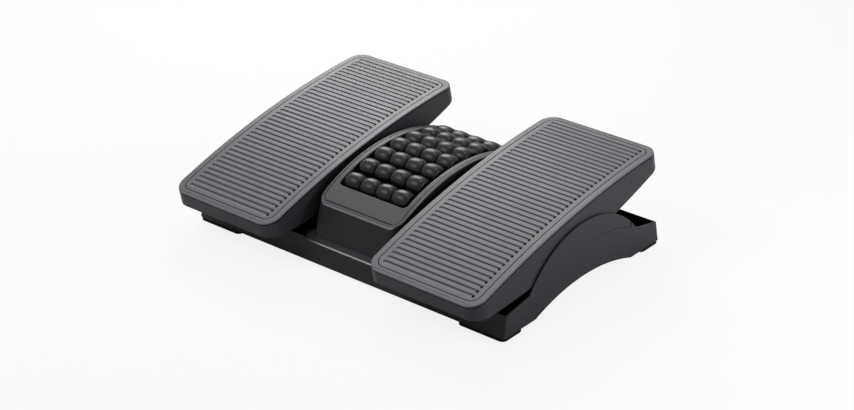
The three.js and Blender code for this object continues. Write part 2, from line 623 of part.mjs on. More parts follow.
// Arched top of the housing: depths are measured square to it, towards the centre of the arch
const ARCH_CENTRE_Z = HOUSING_TOP - HOUSING_RADIUS;
const ROLLER_TURN_RADIUS = HOUSING_RADIUS - ROLLER_SINK;
const ROLLER_STEP = 2 * Math.asin((LOBE_RADIUS + ROLLER_GAP / 2) / ROLLER_TURN_RADIUS);
const ROLLER_ANGLES = Array.from(
  { length: ROLLER_COUNT }, (_, i) => (i - (ROLLER_COUNT - 1) / 2) * ROLLER_STEP);
const OPENING_HALF_WIDTH = LOBES_HALF + OPENING_SIDE_GAP;
const LAST_ROLLER_Y = ROLLER_TURN_RADIUS * Math.sin(ROLLER_ANGLES.at(-1));
const OPENING_HALF_LENGTH = LAST_ROLLER_Y + LOBE_RADIUS + OPENING_END_GAP;
const DECK_TOP = COVER_THICKNESS + SEAT_GAP;
const NOTCH_RADIUS = ROLLER_AXLE_RADIUS + RUNNING_GAP;
const HOUSING_LOW = HOUSING_FOOT - OVERRUN;

function housingBlank(inset, low) {
  const plan = (z) => {
    const half = HOUSING_FOOT_HALF - Math.tan(radians(HOUSING_LEAN)) * (z - HOUSING_FOOT) - inset;
    const corner = HOUSING_CORNER - inset;
    return roundedRectangle(HOUSING_WIDTH - 2 * inset, 2 * half, corner, 0, HOUSING_MIDDLE_Y);
  };
  return loft(plan(low), low, plan(SKY), SKY);
}

// Everything below the arch at a depth under its top
function underArch(depth, half = HOUSING_WIDTH) {
  const reach = HOUSING_FOOT_HALF + OVERRUN;
  const last = Math.asin(reach / (HOUSING_RADIUS - RAIL_DEPTH - OVERRUN));
  const radius = HOUSING_RADIUS - depth;
  const top = Array.from({ length: ARC_STEPS + 1 }, (_, i) => {
    const turn = lerp(last, -last, i / ARC_STEPS);
    return [HOUSING_MIDDLE_Y + radius * Math.sin(turn), ARCH_CENTRE_Z + radius * Math.cos(turn)];
  });
  const [rear, front] = [top.at(0)[0], top.at(-1)[0]];
  const low = Math.min(HOUSING_LOW, top.at(0)[1]) - OVERRUN;
  return across([[front, low], [rear, low], ...top], -half, half);
}

// Where a roller's axis lies, as y and z
const rollerAxis = (angle) => [
  HOUSING_MIDDLE_Y + ROLLER_TURN_RADIUS * Math.sin(angle),
  ARCH_CENTRE_Z + ROLLER_TURN_RADIUS * Math.cos(angle)];

// A shape drawn with its z axis square to the arch, turned to its angle along the arch
function onArch(geometry, angle) {
  return solid(geometry.rotateX(-angle).translate(0, HOUSING_MIDDLE_Y, ARCH_CENTRE_Z));
}

function boxAt(x0, x1, halfWidth, z0, z1) {
  const geometry = new THREE.BoxGeometry(x1 - x0, 2 * halfWidth, z1 - z0);
  return geometry.translate((x0 + x1) / 2, 0, (z0 + z1) / 2);
}

function notch(side, angle) {
  const ends = span(side, BAY_HALF - OVERRUN, NOTCH_END);
  const slot = onArch(boxAt(...ends, NOTCH_RADIUS, ROLLER_TURN_RADIUS, HOUSING_RADIUS), angle);
  return slot.add(rod(NOTCH_RADIUS, ...ends, ...rollerAxis(angle), SMALL_STEPS));
}

function housing() {
  const outside = housingBlank(0, HOUSING_FOOT).intersect(underArch(0));
  const seat = housingBlank(RIM_WIDTH, HOUSING_LOW).subtract(underArch(DECK_TOP));
  const bayLength = 2 * (OPENING_HALF_LENGTH + BAY_MARGIN);
  const bay = upright(rectangle(2 * BAY_HALF, bayLength, 0, HOUSING_MIDDLE_Y), HOUSING_LOW, SKY);
  const within = housingBlank(HOUSING_WALL, HOUSING_LOW);
  const space = within.intersect(underArch(RAIL_DEPTH + COVER_THICKNESS))
    .add(within.intersect(underArch(DECK_TOP + DECK_THICKNESS, BAY_HALF)));
  const bosses = SCREW_PLACES.map(([x, y]) => post(SCREW_BOSS_RADIUS, x, y, HOUSING_LOW, SKY));
  const holes = SCREW_PLACES.map(
    ([x, y]) => post(SCREW_SHANK_RADIUS + SEAT_GAP, x, y, HOUSING_LOW, SCREW_TIP + SEAT_GAP));
  const notches = ROLLER_ANGLES.flatMap((angle) => SIDES.map((side) => notch(side, angle)));
  return cut(outside, [seat, bay, cut(space, bosses), ...holes, ...notches]);
}

// A tooth under the cover that closes the notch over one end of a roller's axle
function tooth(side, angle) {
  const ends = span(side, BAY_HALF + SEAT_GAP, ROLLER_AXLE_END - SEAT_GAP);
  const low = ROLLER_TURN_RADIUS + ROLLER_AXLE_RADIUS + SEAT_GAP;
  const high = HOUSING_RADIUS - COVER_THICKNESS + WELD;
  return onArch(boxAt(...ends, NOTCH_RADIUS - SEAT_GAP, low, high), angle);
}

function cover() {
  const sheet = underArch(0).subtract(underArch(COVER_THICKNESS));
  const plan = roundedRectangle(
    2 * OPENING_HALF_WIDTH, 2 * OPENING_HALF_LENGTH, OPENING_CORNER, 0, HOUSING_MIDDLE_Y);
  const plate = housingBlank(RIM_WIDTH + SEAT_GAP, HOUSING_LOW).intersect(sheet);
  const teeth = ROLLER_ANGLES.flatMap((angle) => SIDES.map((side) => tooth(side, angle)));
  return joined([plate.subtract(upright(plan, HOUSING_LOW, SKY)), ...teeth]);
}

function roller() {
  const lobes = Array.from({ length: LOBE_COUNT * LOBE_STEPS + 1 }, (_, i) => {
    const middle = (Math.floor(i / LOBE_STEPS) - (LOBE_COUNT - 1) / 2) * LOBE_PITCH;
    const turn = Math.PI * ((i % LOBE_STEPS) / LOBE_STEPS - 1 / 2);
    const swell = Math.max(Math.cos(turn), 0) ** LOBE_SQUARENESS;
    return [middle + LOBE_PITCH / 2 * Math.sin(turn), lerp(WAIST_RADIUS, LOBE_RADIUS, swell)];
  });
  const bore = ROLLER_AXLE_RADIUS + RUNNING_GAP;
  const profile = [[-HUB_END, bore], [-HUB_END, HUB_RADIUS], [-LOBES_HALF, HUB_RADIUS], ...lobes,
    [LOBES_HALF, HUB_RADIUS], [HUB_END, HUB_RADIUS], [HUB_END, bore]];
  return turned([...profile, profile[0]], 0, 0, ROLLER_STEPS);
}

// The assembly
const footrest = new THREE.Group();

function add(name, body, finish, place = [0, 0, 0], parent = footrest) {
  const mesh = new THREE.Mesh(geometryOf(body), MATERIALS[finish].clone());
  mesh.name = name;
  mesh.position.set(...place);
  parent.add(mesh);
}

add('base_tray', tray(), 'tray');
for (const [row, end] of [['front', -1], ['rear', 1]]) {
  for (const [hand, side] of [['left', -1], ['right', 1]]) {
    add(`${row}_${hand}_foot`, foot(side * FOOT_X, end * FOOT_Y), 'rubber');
  }
}
add('roller_housing', housing(), 'housing');
add('roller_cover', cover(), 'cover');
SCREW_PLACES.forEach(([x, y], i) => add(`housing_screw_${i + 1}`, screw(x, y), 'steel'));
ROLLER_ANGLES.forEach((angle, i) => {
  const place = [0, ...rollerAxis(angle)];
  const axle = rod(ROLLER_AXLE_RADIUS, -ROLLER_AXLE_END, ROLLER_AXLE_END, 0, 0, SMALL_STEPS);
  add(`massage_roller_${i + 1}`, roller(), 'roller', place);
  add(`roller_axle_${i + 1}`, axle, 'steel', place);
});
for (const [hand, side] of [['left', -1], ['right', 1]]) {
  const middle = side * PEDAL_MIDDLE_X;
  for (const [where, offset] of [['outer', side * PILLAR_OFFSET], ['inner', -side * PILLAR_OFFSET]]) {
    add(`${hand}_${where}_bush`, bush(), 'nylon', [middle + offset, PIVOT_Y, PIVOT_Z]);
  }
  for (const [where, tilt] of [['front', REST_TILT], ['rear', TIPPED_TILT]]) {
    const { y, seat } = bumperPlace(tilt);
    add(`${hand}_${where}_bumper`, bumper(), 'rubber', [middle, y, seat]);
  }
  const pedal = new THREE.Group();
  pedal.position.set(middle, PIVOT_Y, PIVOT_Z);
  pedal.rotation.x = radians(REST_TILT);
  footrest.add(pedal);
  add(`${hand}_pedal_shell`, pedalShell(side), 'pedal', [0, 0, 0], pedal);
  add(`${hand}_pedal_mat`, pedalMat(), 'mat', [0, 0, 0], pedal);
  add(`${hand}_pedal_axle`, pedalAxle(side), 'steel', [0, 0, 0], pedal);
}

// The origin stands on the floor under the middle of the whole footrest
const box = new THREE.Box3().setFromObject(footrest, true);
footrest.position.y = -box.getCenter(new THREE.Vector3()).y;

export default footrest;
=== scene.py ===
# %% [markdown]
# # A tilting under-desk footrest
# Two pedals rock on steel axles in a moulded tray, and a bank of massage rollers lies between them.
# The construction model already gives every piece its real size and place. This lesson dresses it:
# the pieces that show are modelled again with round edges and fine curves, and every surface
# gets a finish. All lengths are in metres.

# %% Load the construction model
import json
import math

import bmesh
import bpy
from mathutils import Matrix, Vector


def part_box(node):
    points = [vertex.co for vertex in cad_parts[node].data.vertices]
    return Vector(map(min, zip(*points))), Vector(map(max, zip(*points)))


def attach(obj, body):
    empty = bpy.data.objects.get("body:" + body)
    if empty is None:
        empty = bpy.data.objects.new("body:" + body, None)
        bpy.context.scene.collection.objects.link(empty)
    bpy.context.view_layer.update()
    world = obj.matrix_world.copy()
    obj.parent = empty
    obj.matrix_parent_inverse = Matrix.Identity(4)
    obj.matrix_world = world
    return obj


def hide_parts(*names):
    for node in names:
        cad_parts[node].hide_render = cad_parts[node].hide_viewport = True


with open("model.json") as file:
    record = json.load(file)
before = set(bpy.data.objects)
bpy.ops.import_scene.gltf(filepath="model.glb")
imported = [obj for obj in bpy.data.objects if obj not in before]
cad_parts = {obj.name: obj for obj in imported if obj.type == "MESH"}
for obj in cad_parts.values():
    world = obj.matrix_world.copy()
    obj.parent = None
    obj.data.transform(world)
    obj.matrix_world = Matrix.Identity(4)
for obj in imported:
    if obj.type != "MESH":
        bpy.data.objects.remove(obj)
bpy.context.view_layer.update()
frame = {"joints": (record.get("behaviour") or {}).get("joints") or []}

# %% [markdown]
# ## Where everything stands
# The construction model stands with the middle of its whole box over the origin, but a footrest is
# easier to describe from the middle of its tray. So the tray, the housing and the rollers are
# modelled about the tray's middle and then moved by one offset. A pedal is modelled level, about
# its own pivot, and is tilted into place at the very end.

# %% Places read from the construction model
tray_low, tray_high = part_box("base_tray")
housing_low, housing_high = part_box("roller_housing")
TRAY_MIDDLE = Vector((0, (tray_low.y + tray_high.y) / 2, 0))
TRAY_HALF_WIDTH = tray_high.x
TRAY_HALF_DEPTH = (tray_high.y - tray_low.y) / 2
TRAY_FOOT = tray_low.z
DOME_TOP = tray_high.z
HOUSING_HALF_WIDTH = housing_high.x
HOUSING_FOOT = housing_low.z
HOUSING_TOP = housing_high.z
PIVOTS = {joint["child"]: Vector(joint["pos_m"]) for joint in frame["joints"]}
SIDES = {"left": -1, "right": 1}
print("tray middle:", TRAY_MIDDLE, "pivots:", len(PIVOTS))

# %% [markdown]
# ## Edit mode from a script
# Every operator acts on all that is selected, so a piece is first made the only selected one. Edges
# are then chosen in code, by their place, instead of by clicking on them. A piece is moved by
# settling it: its place goes into its mesh, and its origin stays at the origin of the world.

# %% Choosing and moving
def take(piece):
    """Makes this piece the only selected one and the active one."""
    if bpy.context.object and bpy.context.object.mode == "EDIT":
        bpy.ops.object.mode_set(mode="OBJECT")
    bpy.ops.object.select_all(action="DESELECT")
    if piece:
        piece.select_set(True)
        bpy.context.view_layer.objects.active = piece
    return piece


def middle(item):
    """The middle of an edge or a face."""
    return sum((corner.co for corner in item.verts), Vector()) / len(item.verts)


def choose(piece, test, kind="EDGE"):
    """Opens a piece in edit mode with just those points, edges or faces chosen that pass a test."""
    take(piece)
    bpy.ops.object.mode_set(mode="EDIT")
    bpy.ops.mesh.select_mode(type=kind)
    bpy.ops.mesh.select_all(action="DESELECT")
    mesh = bmesh.from_edit_mesh(piece.data)
    items = {"VERT": mesh.verts, "EDGE": mesh.edges, "FACE": mesh.faces}[kind]
    for item in items:
        item.select_set(test(item))
    bmesh.update_edit_mesh(piece.data)


def done():
    """Leaves edit mode."""
    bpy.ops.object.mode_set(mode="OBJECT")


def settle(piece, place, tilt=0):
    """Tilts a piece about the X axis, moves it to its place, and puts both into its mesh."""
    take(piece)
    piece.location = place
    piece.rotation_euler.x = tilt
    bpy.ops.object.transform_apply(location=True, rotation=True, scale=True)
    return piece


print("edit mode helpers ready")

# %% [markdown]
# ## A block
# The simplest start is a cube primitive, stretched until it fills the space between two corners.
# Two corners are easier to write down than a middle and three sizes.

# %% Blocks
SAME_POINT = 1e-5


def block(name, low, high):
    """A cube primitive that fills the space between two corners."""
    take(None)
    low, high = Vector(low), Vector(high)
    bpy.ops.mesh.primitive_cube_add(size=1, location=(low + high) / 2, scale=high - low)
    piece = bpy.context.object
    piece.name = name
    bpy.ops.object.transform_apply(location=True, rotation=True, scale=True)
    return piece


print("points closer than", SAME_POINT, "m count as one")

# %% [markdown]
# ## Outlines, pulled across or turned round
# Most mouldings are easiest to draw. One point is extruded from place to place, as with the E key.
# A closed outline is then filled and pulled across, and a half outline is turned round an axis. In
# the end doubled points are joined, and every face is turned outwards.

# %% Outlines
ALONG_X, UPRIGHT = (1, 0, 0), (0, 0, 1)
ROUND_STEPS = 32


def line(name, points):
    """One point, extruded along a list of points, and left in edit mode with everything chosen.

    A long chain of moves drifts by rounding errors, so each point is then put exactly on its place.
    """
    take(None)
    bpy.ops.mesh.primitive_plane_add(size=1)
    piece = bpy.context.object
    piece.name = name
    bpy.ops.object.mode_set(mode="EDIT")
    bpy.ops.mesh.select_mode(type="VERT")
    bpy.ops.mesh.select_all(action="SELECT")
    bpy.ops.mesh.merge(type="CENTER")
    bpy.ops.transform.translate(value=points[0])
    for start, end in zip(points, points[1:]):
        bpy.ops.mesh.extrude_region_move(TRANSFORM_OT_translate={"value": end - start})
    drawn_line = bmesh.from_edit_mesh(piece.data)
    for corner in drawn_line.verts:
        corner.co = min(points, key=lambda point: (point - corner.co).length_squared)
    bmesh.update_edit_mesh(piece.data)
    bpy.ops.mesh.select_all(action="SELECT")
    return piece


def closed_up():
    """Joins doubled points, turns every face outwards and leaves edit mode."""
    bpy.ops.mesh.select_all(action="SELECT")
    bpy.ops.mesh.remove_doubles(threshold=SAME_POINT)
    bpy.ops.mesh.normals_make_consistent(inside=False)
    done()


def drawn(name, outline, start, end, plane="side"):
    """An outline pulled from start to end: y, z points across the footrest, or x, y points upwards."""
    def place(point):
        return Vector((start, *point)) if plane == "side" else Vector((*point, start))

    pull = (end - start, 0, 0) if plane == "side" else (0, 0, end - start)
    piece = line(name, [place(point) for point in [*outline, outline[0]]])
    bpy.ops.mesh.remove_doubles(threshold=SAME_POINT)
    bpy.ops.mesh.edge_face_add()
    bpy.ops.mesh.extrude_region_move(TRANSFORM_OT_translate={"value": pull})
    closed_up()
    return piece


def spun(name, profile, axis=ALONG_X, steps=ROUND_STEPS):
    """A half outline of along, radius points, turned right round the X or the Z axis."""
    points = [Vector((along, 0, radius) if axis == ALONG_X else (radius, 0, along))
              for along, radius in profile]
    piece = line(name, points)
    bpy.ops.mesh.spin(steps=steps, angle=2 * math.pi, center=(0, 0, 0), axis=axis)
    closed_up()
    return piece


print("a round piece has", ROUND_STEPS, "flats")

# %% [markdown]
# ## Round bars
# Axles and bores lie along X. Studs, bosses and screw holes stand upright. The left half of the
# footrest mirrors the right one, so a stretch across it is given once and turned to either side.

# %% Round bars
def rod(name, radius, x0, x1):
    """A round bar along X."""
    return spun(name, [(x0, 0), (x0, radius), (x1, radius), (x1, 0)])


def post(name, radius, x, y, low, high):
    """A round bar that stands upright."""
    bar = spun(name, [(low, 0), (low, radius), (high, radius), (high, 0)], UPRIGHT)
    return settle(bar, (x, y, 0))


def span(side, near, far):
    """A stretch across the footrest, given for its right side, on side 1 or -1."""
    return sorted((side * near, side * far))


print("1 to 2 m on the left side runs from", *span(-1, 1, 2))

# %% [markdown]
# ## Blocks with round corners, leaning ends or a flared foot
# A tray or a pedal is a block at heart, with its upright edges bevelled. A moulding also leans a
# little, so that it slips out of its mould, so two more shapes move the upper end of a block.

# %% Shaped blocks
CORNER_STEPS = 16


def rounded_block(name, low, high, corner, steps=CORNER_STEPS):
    """A block whose four upright edges are round."""
    piece = block(name, low, high)
    choose(piece, lambda edge: abs(edge.verts[0].co.z - edge.verts[1].co.z) > SAME_POINT)
    bpy.ops.mesh.bevel(offset=corner, segments=steps, affect="EDGES")
    done()
    return piece


def leaning_block(name, half_width, half_depth, lean, middle_y, low, high, corner):
    """A round-cornered block whose two end walls lean inwards as they rise."""
    piece = rounded_block(
        name, (-half_width, middle_y - half_depth, low),
        (half_width, middle_y + half_depth, high), corner)
    for end in SIDES.values():
        choose(piece, lambda point: (point.co.z > (low + high) / 2
                                     and end * (point.co.y - middle_y) > 0), "VERT")
        bpy.ops.transform.translate(value=(0, -end * lean * (high - low), 0))
        done()
    return piece


def flared_block(name, x, y, width, length, flare, low, high):
    """A post that is wider at its foot by a flare on every side."""
    piece = block(name, (x - width / 2 - flare, y - length / 2 - flare, low),
                  (x + width / 2 + flare, y + length / 2 + flare, high))
    choose(piece, lambda point: point.co.z > (low + high) / 2, "VERT")
    narrower = (width / (width + 2 * flare), length / (length + 2 * flare), 1)
    bpy.ops.transform.resize(value=narrower, center_override=(x, y, high))
    done()
    return piece


print("a rounded corner has", CORNER_STEPS, "flats")

# %% [markdown]
# ## Joining, cutting and rounding
# A Boolean modifier joins or cuts two shapes, and applying it leaves one clean mesh. Real mouldings
# have no knife edges, so the edges that catch the light are bevelled afterwards. Only sharp edges
# are taken, so the flats of a fine arc stay as they are.

# %% Joining, cutting and rounding
FINE_STEPS, MEDIUM_STEPS, WIDE_STEPS = 2, 3, 4
STILL_FLAT = math.radians(30)
STILL_SMOOTH = math.radians(32)


def combine(piece, others, operation):
    """Joins a piece with others, cuts them out of it, or keeps what lies inside them."""
    for other in others:
        modifier = piece.modifiers.new("combine", "BOOLEAN")
        modifier.operation = operation
        modifier.solver = "EXACT"
        modifier.object = other
        take(piece)
        bpy.ops.object.modifier_apply(modifier=modifier.name)
        bpy.data.objects.remove(other)
    return piece


def cut(piece, *others):
    return combine(piece, others, "DIFFERENCE")


def fuse(piece, *others):
    return combine(piece, others, "UNION")


def keep(piece, *others):
    return combine(piece, others, "INTERSECT")


def round_edges(piece, radius, steps, test, profile=0.5):
    """Bevels the sharp edges whose middle passes a test. Below 0.5 the profile is flatter than round."""
    def wanted(edge):
        return edge.is_manifold and edge.calc_face_angle() > STILL_FLAT and test(middle(edge))

    choose(piece, wanted)
    bpy.ops.mesh.bevel(
        offset=radius, segments=steps, profile=profile, affect="EDGES", clamp_overlap=False)
    done()


def copied(piece, name):
    """A copy of a piece with a mesh of its own."""
    take(piece)
    bpy.ops.object.duplicate(linked=False)
    bpy.context.object.name = name
    return bpy.context.object


def smooth(piece):
    """Smooth shading that leans towards the large flat faces."""
    take(piece)
    bpy.ops.object.shade_smooth_by_angle(angle=STILL_SMOOTH)
    weights = piece.modifiers.new("weighted_normals", "WEIGHTED_NORMAL")
    weights.keep_sharp = True
    bpy.ops.object.modifier_apply(modifier=weights.name)
    return piece


print("edges under", round(math.degrees(STILL_FLAT)), "degrees stay as they are")

# %% [markdown]
# ## Shader sums as plain Python
# A material is a graph of nodes, and so is the room round the scene. Wrapping a socket in a small
# class lets `grain * 0.2 + base` add the Math nodes by itself. Everything else goes through one
# method that takes the node's type, its settings and what its sockets get.

# %% A socket that can be added and multiplied
class Shade:
    """One output socket of a graph, for use in sums."""

    def __init__(self, graph, socket):
        self.graph = graph
        self.socket = socket

    def sum(self, operation, other):
        return self.graph.node("ShaderNodeMath", {"operation": operation}, {0: self, 1: other})

    def __add__(self, other):
        return self.sum("ADD", other)

    def __mul__(self, other):
        return self.sum("MULTIPLY", other)

    __radd__ = __add__
    __rmul__ = __mul__

    def either(self, other):
        """1 where this shade or the other is 1."""
        return self.sum("MAXIMUM", other)


class Graph:
    """The nodes of a material or of the room."""

    def __init__(self, owner):
        owner.use_nodes = True
        self.tree = owner.node_tree

    def node(self, kind, settings, sockets, output=0):
        """Adds a node and returns one of its outputs."""
        made = self.tree.nodes.new(kind)
        for name, value in settings.items():
            setattr(made, name, value)
        for name, value in sockets.items():
            self.feed(made.inputs[name], value)
        return Shade(self, made.outputs[output])

    def feed(self, socket, value):
        """Links a shade to a socket, or sets the socket to a plain value."""
        if isinstance(value, Shade):
            self.tree.links.new(value.socket, socket)
        else:
            socket.default_value = value

    def seen_by(self, rays):
        """1 for one kind of rays, such as those of the camera, and 0 for all others."""
        return self.node("ShaderNodeLightPath", {}, {}, f"Is {rays} Ray")


print("shades can be added and multiplied")

# %% [markdown]
# ## A finish under construction
# Every finish is Blender's own surface shader with patterns fed into it. The patterns follow the
# piece and not the world, so that they stay on the plastic when a pedal tilts.

# %% Finishes
class Finish(Graph):
    """A material and its surface."""

    def __init__(self, name):
        self.material = bpy.data.materials.new(name)
        super().__init__(self.material)
        self.surface = self.tree.nodes["Principled BSDF"]

    def set(self, **sockets):
        """Feeds the surface's own sockets."""
        for name, value in sockets.items():
            self.feed(self.surface.inputs[name.replace("_", " ")], value)
        return self

    def place(self):
        """Where a point lies, which every pattern here follows."""
        return self.node("ShaderNodeTexCoord", {}, {}, "Object")

    def noise(self, size, detail=2, stretch=(1, 1, 1)):
        """Soft noise from 0 to 1 whose lumps measure about one size."""
        spread = self.node("ShaderNodeMapping", {}, {"Vector": self.place(), "Scale": stretch})
        return self.node(
            "ShaderNodeTexNoise", {}, {"Vector": spread, "Scale": 1 / size, "Detail": detail})

    def blended(self, share, first, second):
        """A colour between two, by a share from 0 to 1."""
        return self.node("ShaderNodeMix", {"data_type": "RGBA"}, {0: share, 6: first, 7: second}, 2)

    def bumps(self, height, depth):
        """The surface roughened by a height from 0 to 1, so many metres deep."""
        bump = self.node("ShaderNodeBump", {}, {"Height": height, "Distance": depth, "Strength": 1.0})
        return self.set(Normal=bump)


print("shader helpers ready")

# %% [markdown]
# ## The plastics
# The whole footrest is charcoal plastic, but its moulds were finished in different ways. Skirts,
# walls and the housing came from satin moulds. The faces that feet touch came from grained ones, which
# scatter more light, and they are also painted paler than the skirts as painted top light. The rollers
# are the smoothest, and the two edges that catch the light are glossier and painted paler as a painted
# highlight. One recipe gives them all: cloudy colour, fine grain in the bump, and a roughness that
# wanders a little. Two darker ones are painted shade: on the steep heel-side walls of the grooves, and
# in the narrow gaps between pieces.

# %% Moulded plastics
GRAIN_SIZE = 0.0007
CLOUD_SIZE = 0.035
ROUGHNESS_WANDER = 0.1
DARK_TINT = (0.98, 1.0, 1.2)
PALE_TINT = (0.97, 1.0, 1.12)


def grey(level, tint=DARK_TINT):
    """A near-neutral colour of linear brightness."""
    return (*[level * share for share in tint], 1)


def moulded(name, level, roughness, grain_depth, contrast=0.12, specular=0.5, tint=DARK_TINT):
    """Plastic from a grained or polished mould."""
    finish = Finish(name)
    clouds = finish.noise(CLOUD_SIZE, detail=3)
    grain = finish.noise(GRAIN_SIZE)
    dark, pale = (grey(level * (1 + change), tint) for change in (-contrast, contrast))
    finish.set(
        Base_Color=finish.blended(clouds * 0.5 + grain * 0.5, dark, pale),
        Roughness=clouds * ROUGHNESS_WANDER + (roughness - ROUGHNESS_WANDER / 2),
        Specular_IOR_Level=specular)
    finish.bumps(grain, grain_depth)
    return finish.material


SATIN = moulded("satin_charcoal", 0.032, 0.45, 0.00004, specular=0.2)
TRAY_BLACK = moulded("satin_black", 0.023, 0.4, 0.00003, specular=0.15)
# Painted light: the outsides of the tray's side walls are painted lighter than the rest of the tray, where
# the light from the right falls on them.
SIDE_PAINTED_LIGHT = moulded("side_walls_painted_light", 0.033, 0.4, 0.00003, specular=0.15)
HOUSING_BLACK = moulded("housing_black", 0.018, 0.45, 0.00003, specular=0.15)
# The next two are partly a grained finish and partly painted light: the tops are painted paler than the
# skirts and walls of the same mouldings.
GRAIN_AND_TOP_LIGHT = moulded("grain_and_painted_top_light", 0.074, 0.5, 0.00009, contrast=0.2, tint=PALE_TINT)
COVER_GRAIN_AND_TOP_LIGHT = moulded("cover_grain_and_painted_top_light", 0.047, 0.55, 0.00008, contrast=0.2, specular=0.4, tint=PALE_TINT)
ROLLER_SATIN = moulded("roller_charcoal", 0.003, 0.34, 0.00001, specular=0.22)
# The next two are glossier and also painted paler: a painted highlight on the tray's bright front facet
# and a painted glint on the housing rim's outer edge.
POLISH_AND_PAINTED_HIGHLIGHT = moulded("polish_and_painted_highlight", 0.04, 0.35, 0.00001, specular=1.0)
EDGE_GLOSS_AND_PAINTED_GLINT = moulded("edge_gloss_and_painted_glint", 0.05, 0.35, 0.00001, specular=0.7, tint=PALE_TINT)
# Painted shade: the groove walls that face the heel are painted darker than the mat.
GROOVE_WALL_SHADE = moulded("groove_wall_painted_shade", 0.032, 0.6, 0.00006, specular=0.3)
# Painted shade: near-black on the shadow groove, the gaps round the mats and the cover, the mats' edges
# and the pits.
PAINTED_GAP_SHADE = moulded("painted_gap_shade", 0.004, 0.7, 0.00002, specular=0.1)
print("plastics:", len(bpy.data.materials))

# %% [markdown]
# ## Rubber, nylon and steel
# The feet and bumpers are matt rubber with a dusty bloom. The bushes are natural nylon. Axles and
# screws are drawn steel, whose fine lines run along the bar, so its noise is stretched that way.

# %% Rubber, nylon and steel
def speckled(name, dark, pale, lump_size, detail, roughness, wander, bump_depth, grain_size=None,
             stretch=(1, 1, 1), **constants):
    """A finish whose lumps change colour and roughness together. Its bump is finer where that is given."""
    finish = Finish(name)
    lumps = finish.noise(lump_size, detail, stretch)
    finish.set(
        Base_Color=finish.blended(lumps, dark, pale), Roughness=lumps * wander + roughness, **constants)
    finish.bumps(finish.noise(grain_size) if grain_size else lumps, bump_depth)
    return finish.material


RUBBER = speckled(
    "black_rubber", grey(0.003), grey(0.008), lump_size=0.004, detail=4, roughness=0.75, wander=0.2,
    bump_depth=0.00008, grain_size=0.0009, Specular_IOR_Level=0.15)
NYLON = speckled(
    "natural_nylon", (0.62, 0.6, 0.53, 1), (0.72, 0.7, 0.63, 1), lump_size=0.006, detail=3,
    roughness=0.38, wander=0.15, bump_depth=0.00002, grain_size=0.0012)
STEEL = speckled(
    "drawn_steel", (0.5, 0.51, 0.52, 1), (0.62, 0.63, 0.64, 1), lump_size=0.0004, detail=3,
    roughness=0.22, wander=0.2, bump_depth=0.00001, stretch=(0.02, 1, 1), Metallic=1.0)
print("finishes:", len(bpy.data.materials))

# %% [markdown]
# ## Handing a piece over
# A finished piece gets its finishes, moves with the body that the construction model put it on, and
# hides the plain solid that it stands for. Where a piece has several finishes, each face gets the
# number of its own, which is worked out beforehand, while the piece still lies level. The
# pedals and the housing share one numbering: skirt, rim partly painted paler as top light, narrow gap
# painted near-black as shade, and edge painted paler as a glint.

# %% Dressing a piece
ZONES = range(4)
SKIRT_ZONE, RIM_ZONE, GAP_ZONE, EDGE_ZONE = ZONES


def loose_edges(piece):
    """How many edges don't join exactly two faces. A closed piece has none."""
    mesh = bmesh.new()
    mesh.from_mesh(piece.data)
    count = sum(not edge.is_manifold for edge in mesh.edges)
    mesh.free()
    return count


def zoned(piece, zone):
    """Numbers each face by the finish that its place calls for."""
    for face in piece.data.polygons:
        face.material_index = zone(face)
    counts = [sum(face.material_index == i for face in piece.data.polygons) for i in ZONES]
    print(piece.name, "faces in zones 0 to 3:", counts)


def dress(piece, body, slot, node, *finishes):
    """Gives a piece its finishes, its body and the construction node that it replaces."""
    for finish in finishes:
        piece.data.materials.append(finish)
    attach(piece, body)
    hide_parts(node)
    print(piece.name, "faces:", len(piece.data.polygons), "loose edges:", loose_edges(piece),
          "rides on", body)


print("finish zones:", len(ZONES))

# %% [markdown]
# ## Arcs that the pieces share
# Domes, crowns and bellies are all shallow arcs of a circle. A circle that rises so much over so
# much half span has a known radius, and its height follows from Pythagoras.

# %% Arcs
def arc_radius(half_span, rise):
    return (half_span**2 + rise**2) / (2 * rise)


def arc_height(crest, radius, y):
    """Height at y of a circle that crests at y = 0."""
    return crest - radius + math.sqrt(radius**2 - y**2)


def curve(height, start, end, steps):
    """Points of a curve from start to end."""
    places = [start + (end - start) * i / steps for i in range(steps + 1)]
    return [(y, height(y)) for y in places]


print("15 mm of rise over a half span of 200 mm take a radius of", round(arc_radius(0.2, 0.015), 3), "m")

# %% [markdown]
# ## The pedal: its outline
# A pedal is a deep tray turned upside down. Its plan is a rounded rectangle, its top is crowned by
# 15 mm and its lower edge bellies out by 17.5 mm, so it is deepest over the axle. Drawing the side
# view and keeping what lies inside the rounded plan gives exactly that.

# %% Pedal sizes
PEDAL_WIDTH = 0.187
PEDAL_LENGTH = 0.3958
PEDAL_CORNER = 0.022
PEDAL_WALL = 0.0025
PEDAL_TOP_WALL = 0.005
CROWN_RISE = 0.015
SKIRT_DEPTH = 0.022
BELLY_DEPTH = 0.0175
PIVOT_BEHIND_MIDDLE = 0.019
PIVOT_BELOW_CHORD = 0.0295
REST_TILT = math.radians(10)
OVERRUN = 0.005
CROWN_STEPS = 44

PEDAL_HALF = PEDAL_WIDTH / 2
PEDAL_MIDDLE = -PIVOT_BEHIND_MIDDLE
PEDAL_REACH = PEDAL_LENGTH / 2 + OVERRUN
PEDAL_LOW = PIVOT_BELOW_CHORD - SKIRT_DEPTH - BELLY_DEPTH - OVERRUN
PEDAL_HIGH = PIVOT_BELOW_CHORD + CROWN_RISE + OVERRUN


def bow(rise, y):
    return arc_height(rise, arc_radius(PEDAL_LENGTH / 2, rise), y - PEDAL_MIDDLE)


def crown(y, below=0):
    return PIVOT_BELOW_CHORD + bow(CROWN_RISE, y) - below


def belly(y):
    return PIVOT_BELOW_CHORD - SKIRT_DEPTH - bow(BELLY_DEPTH, y)


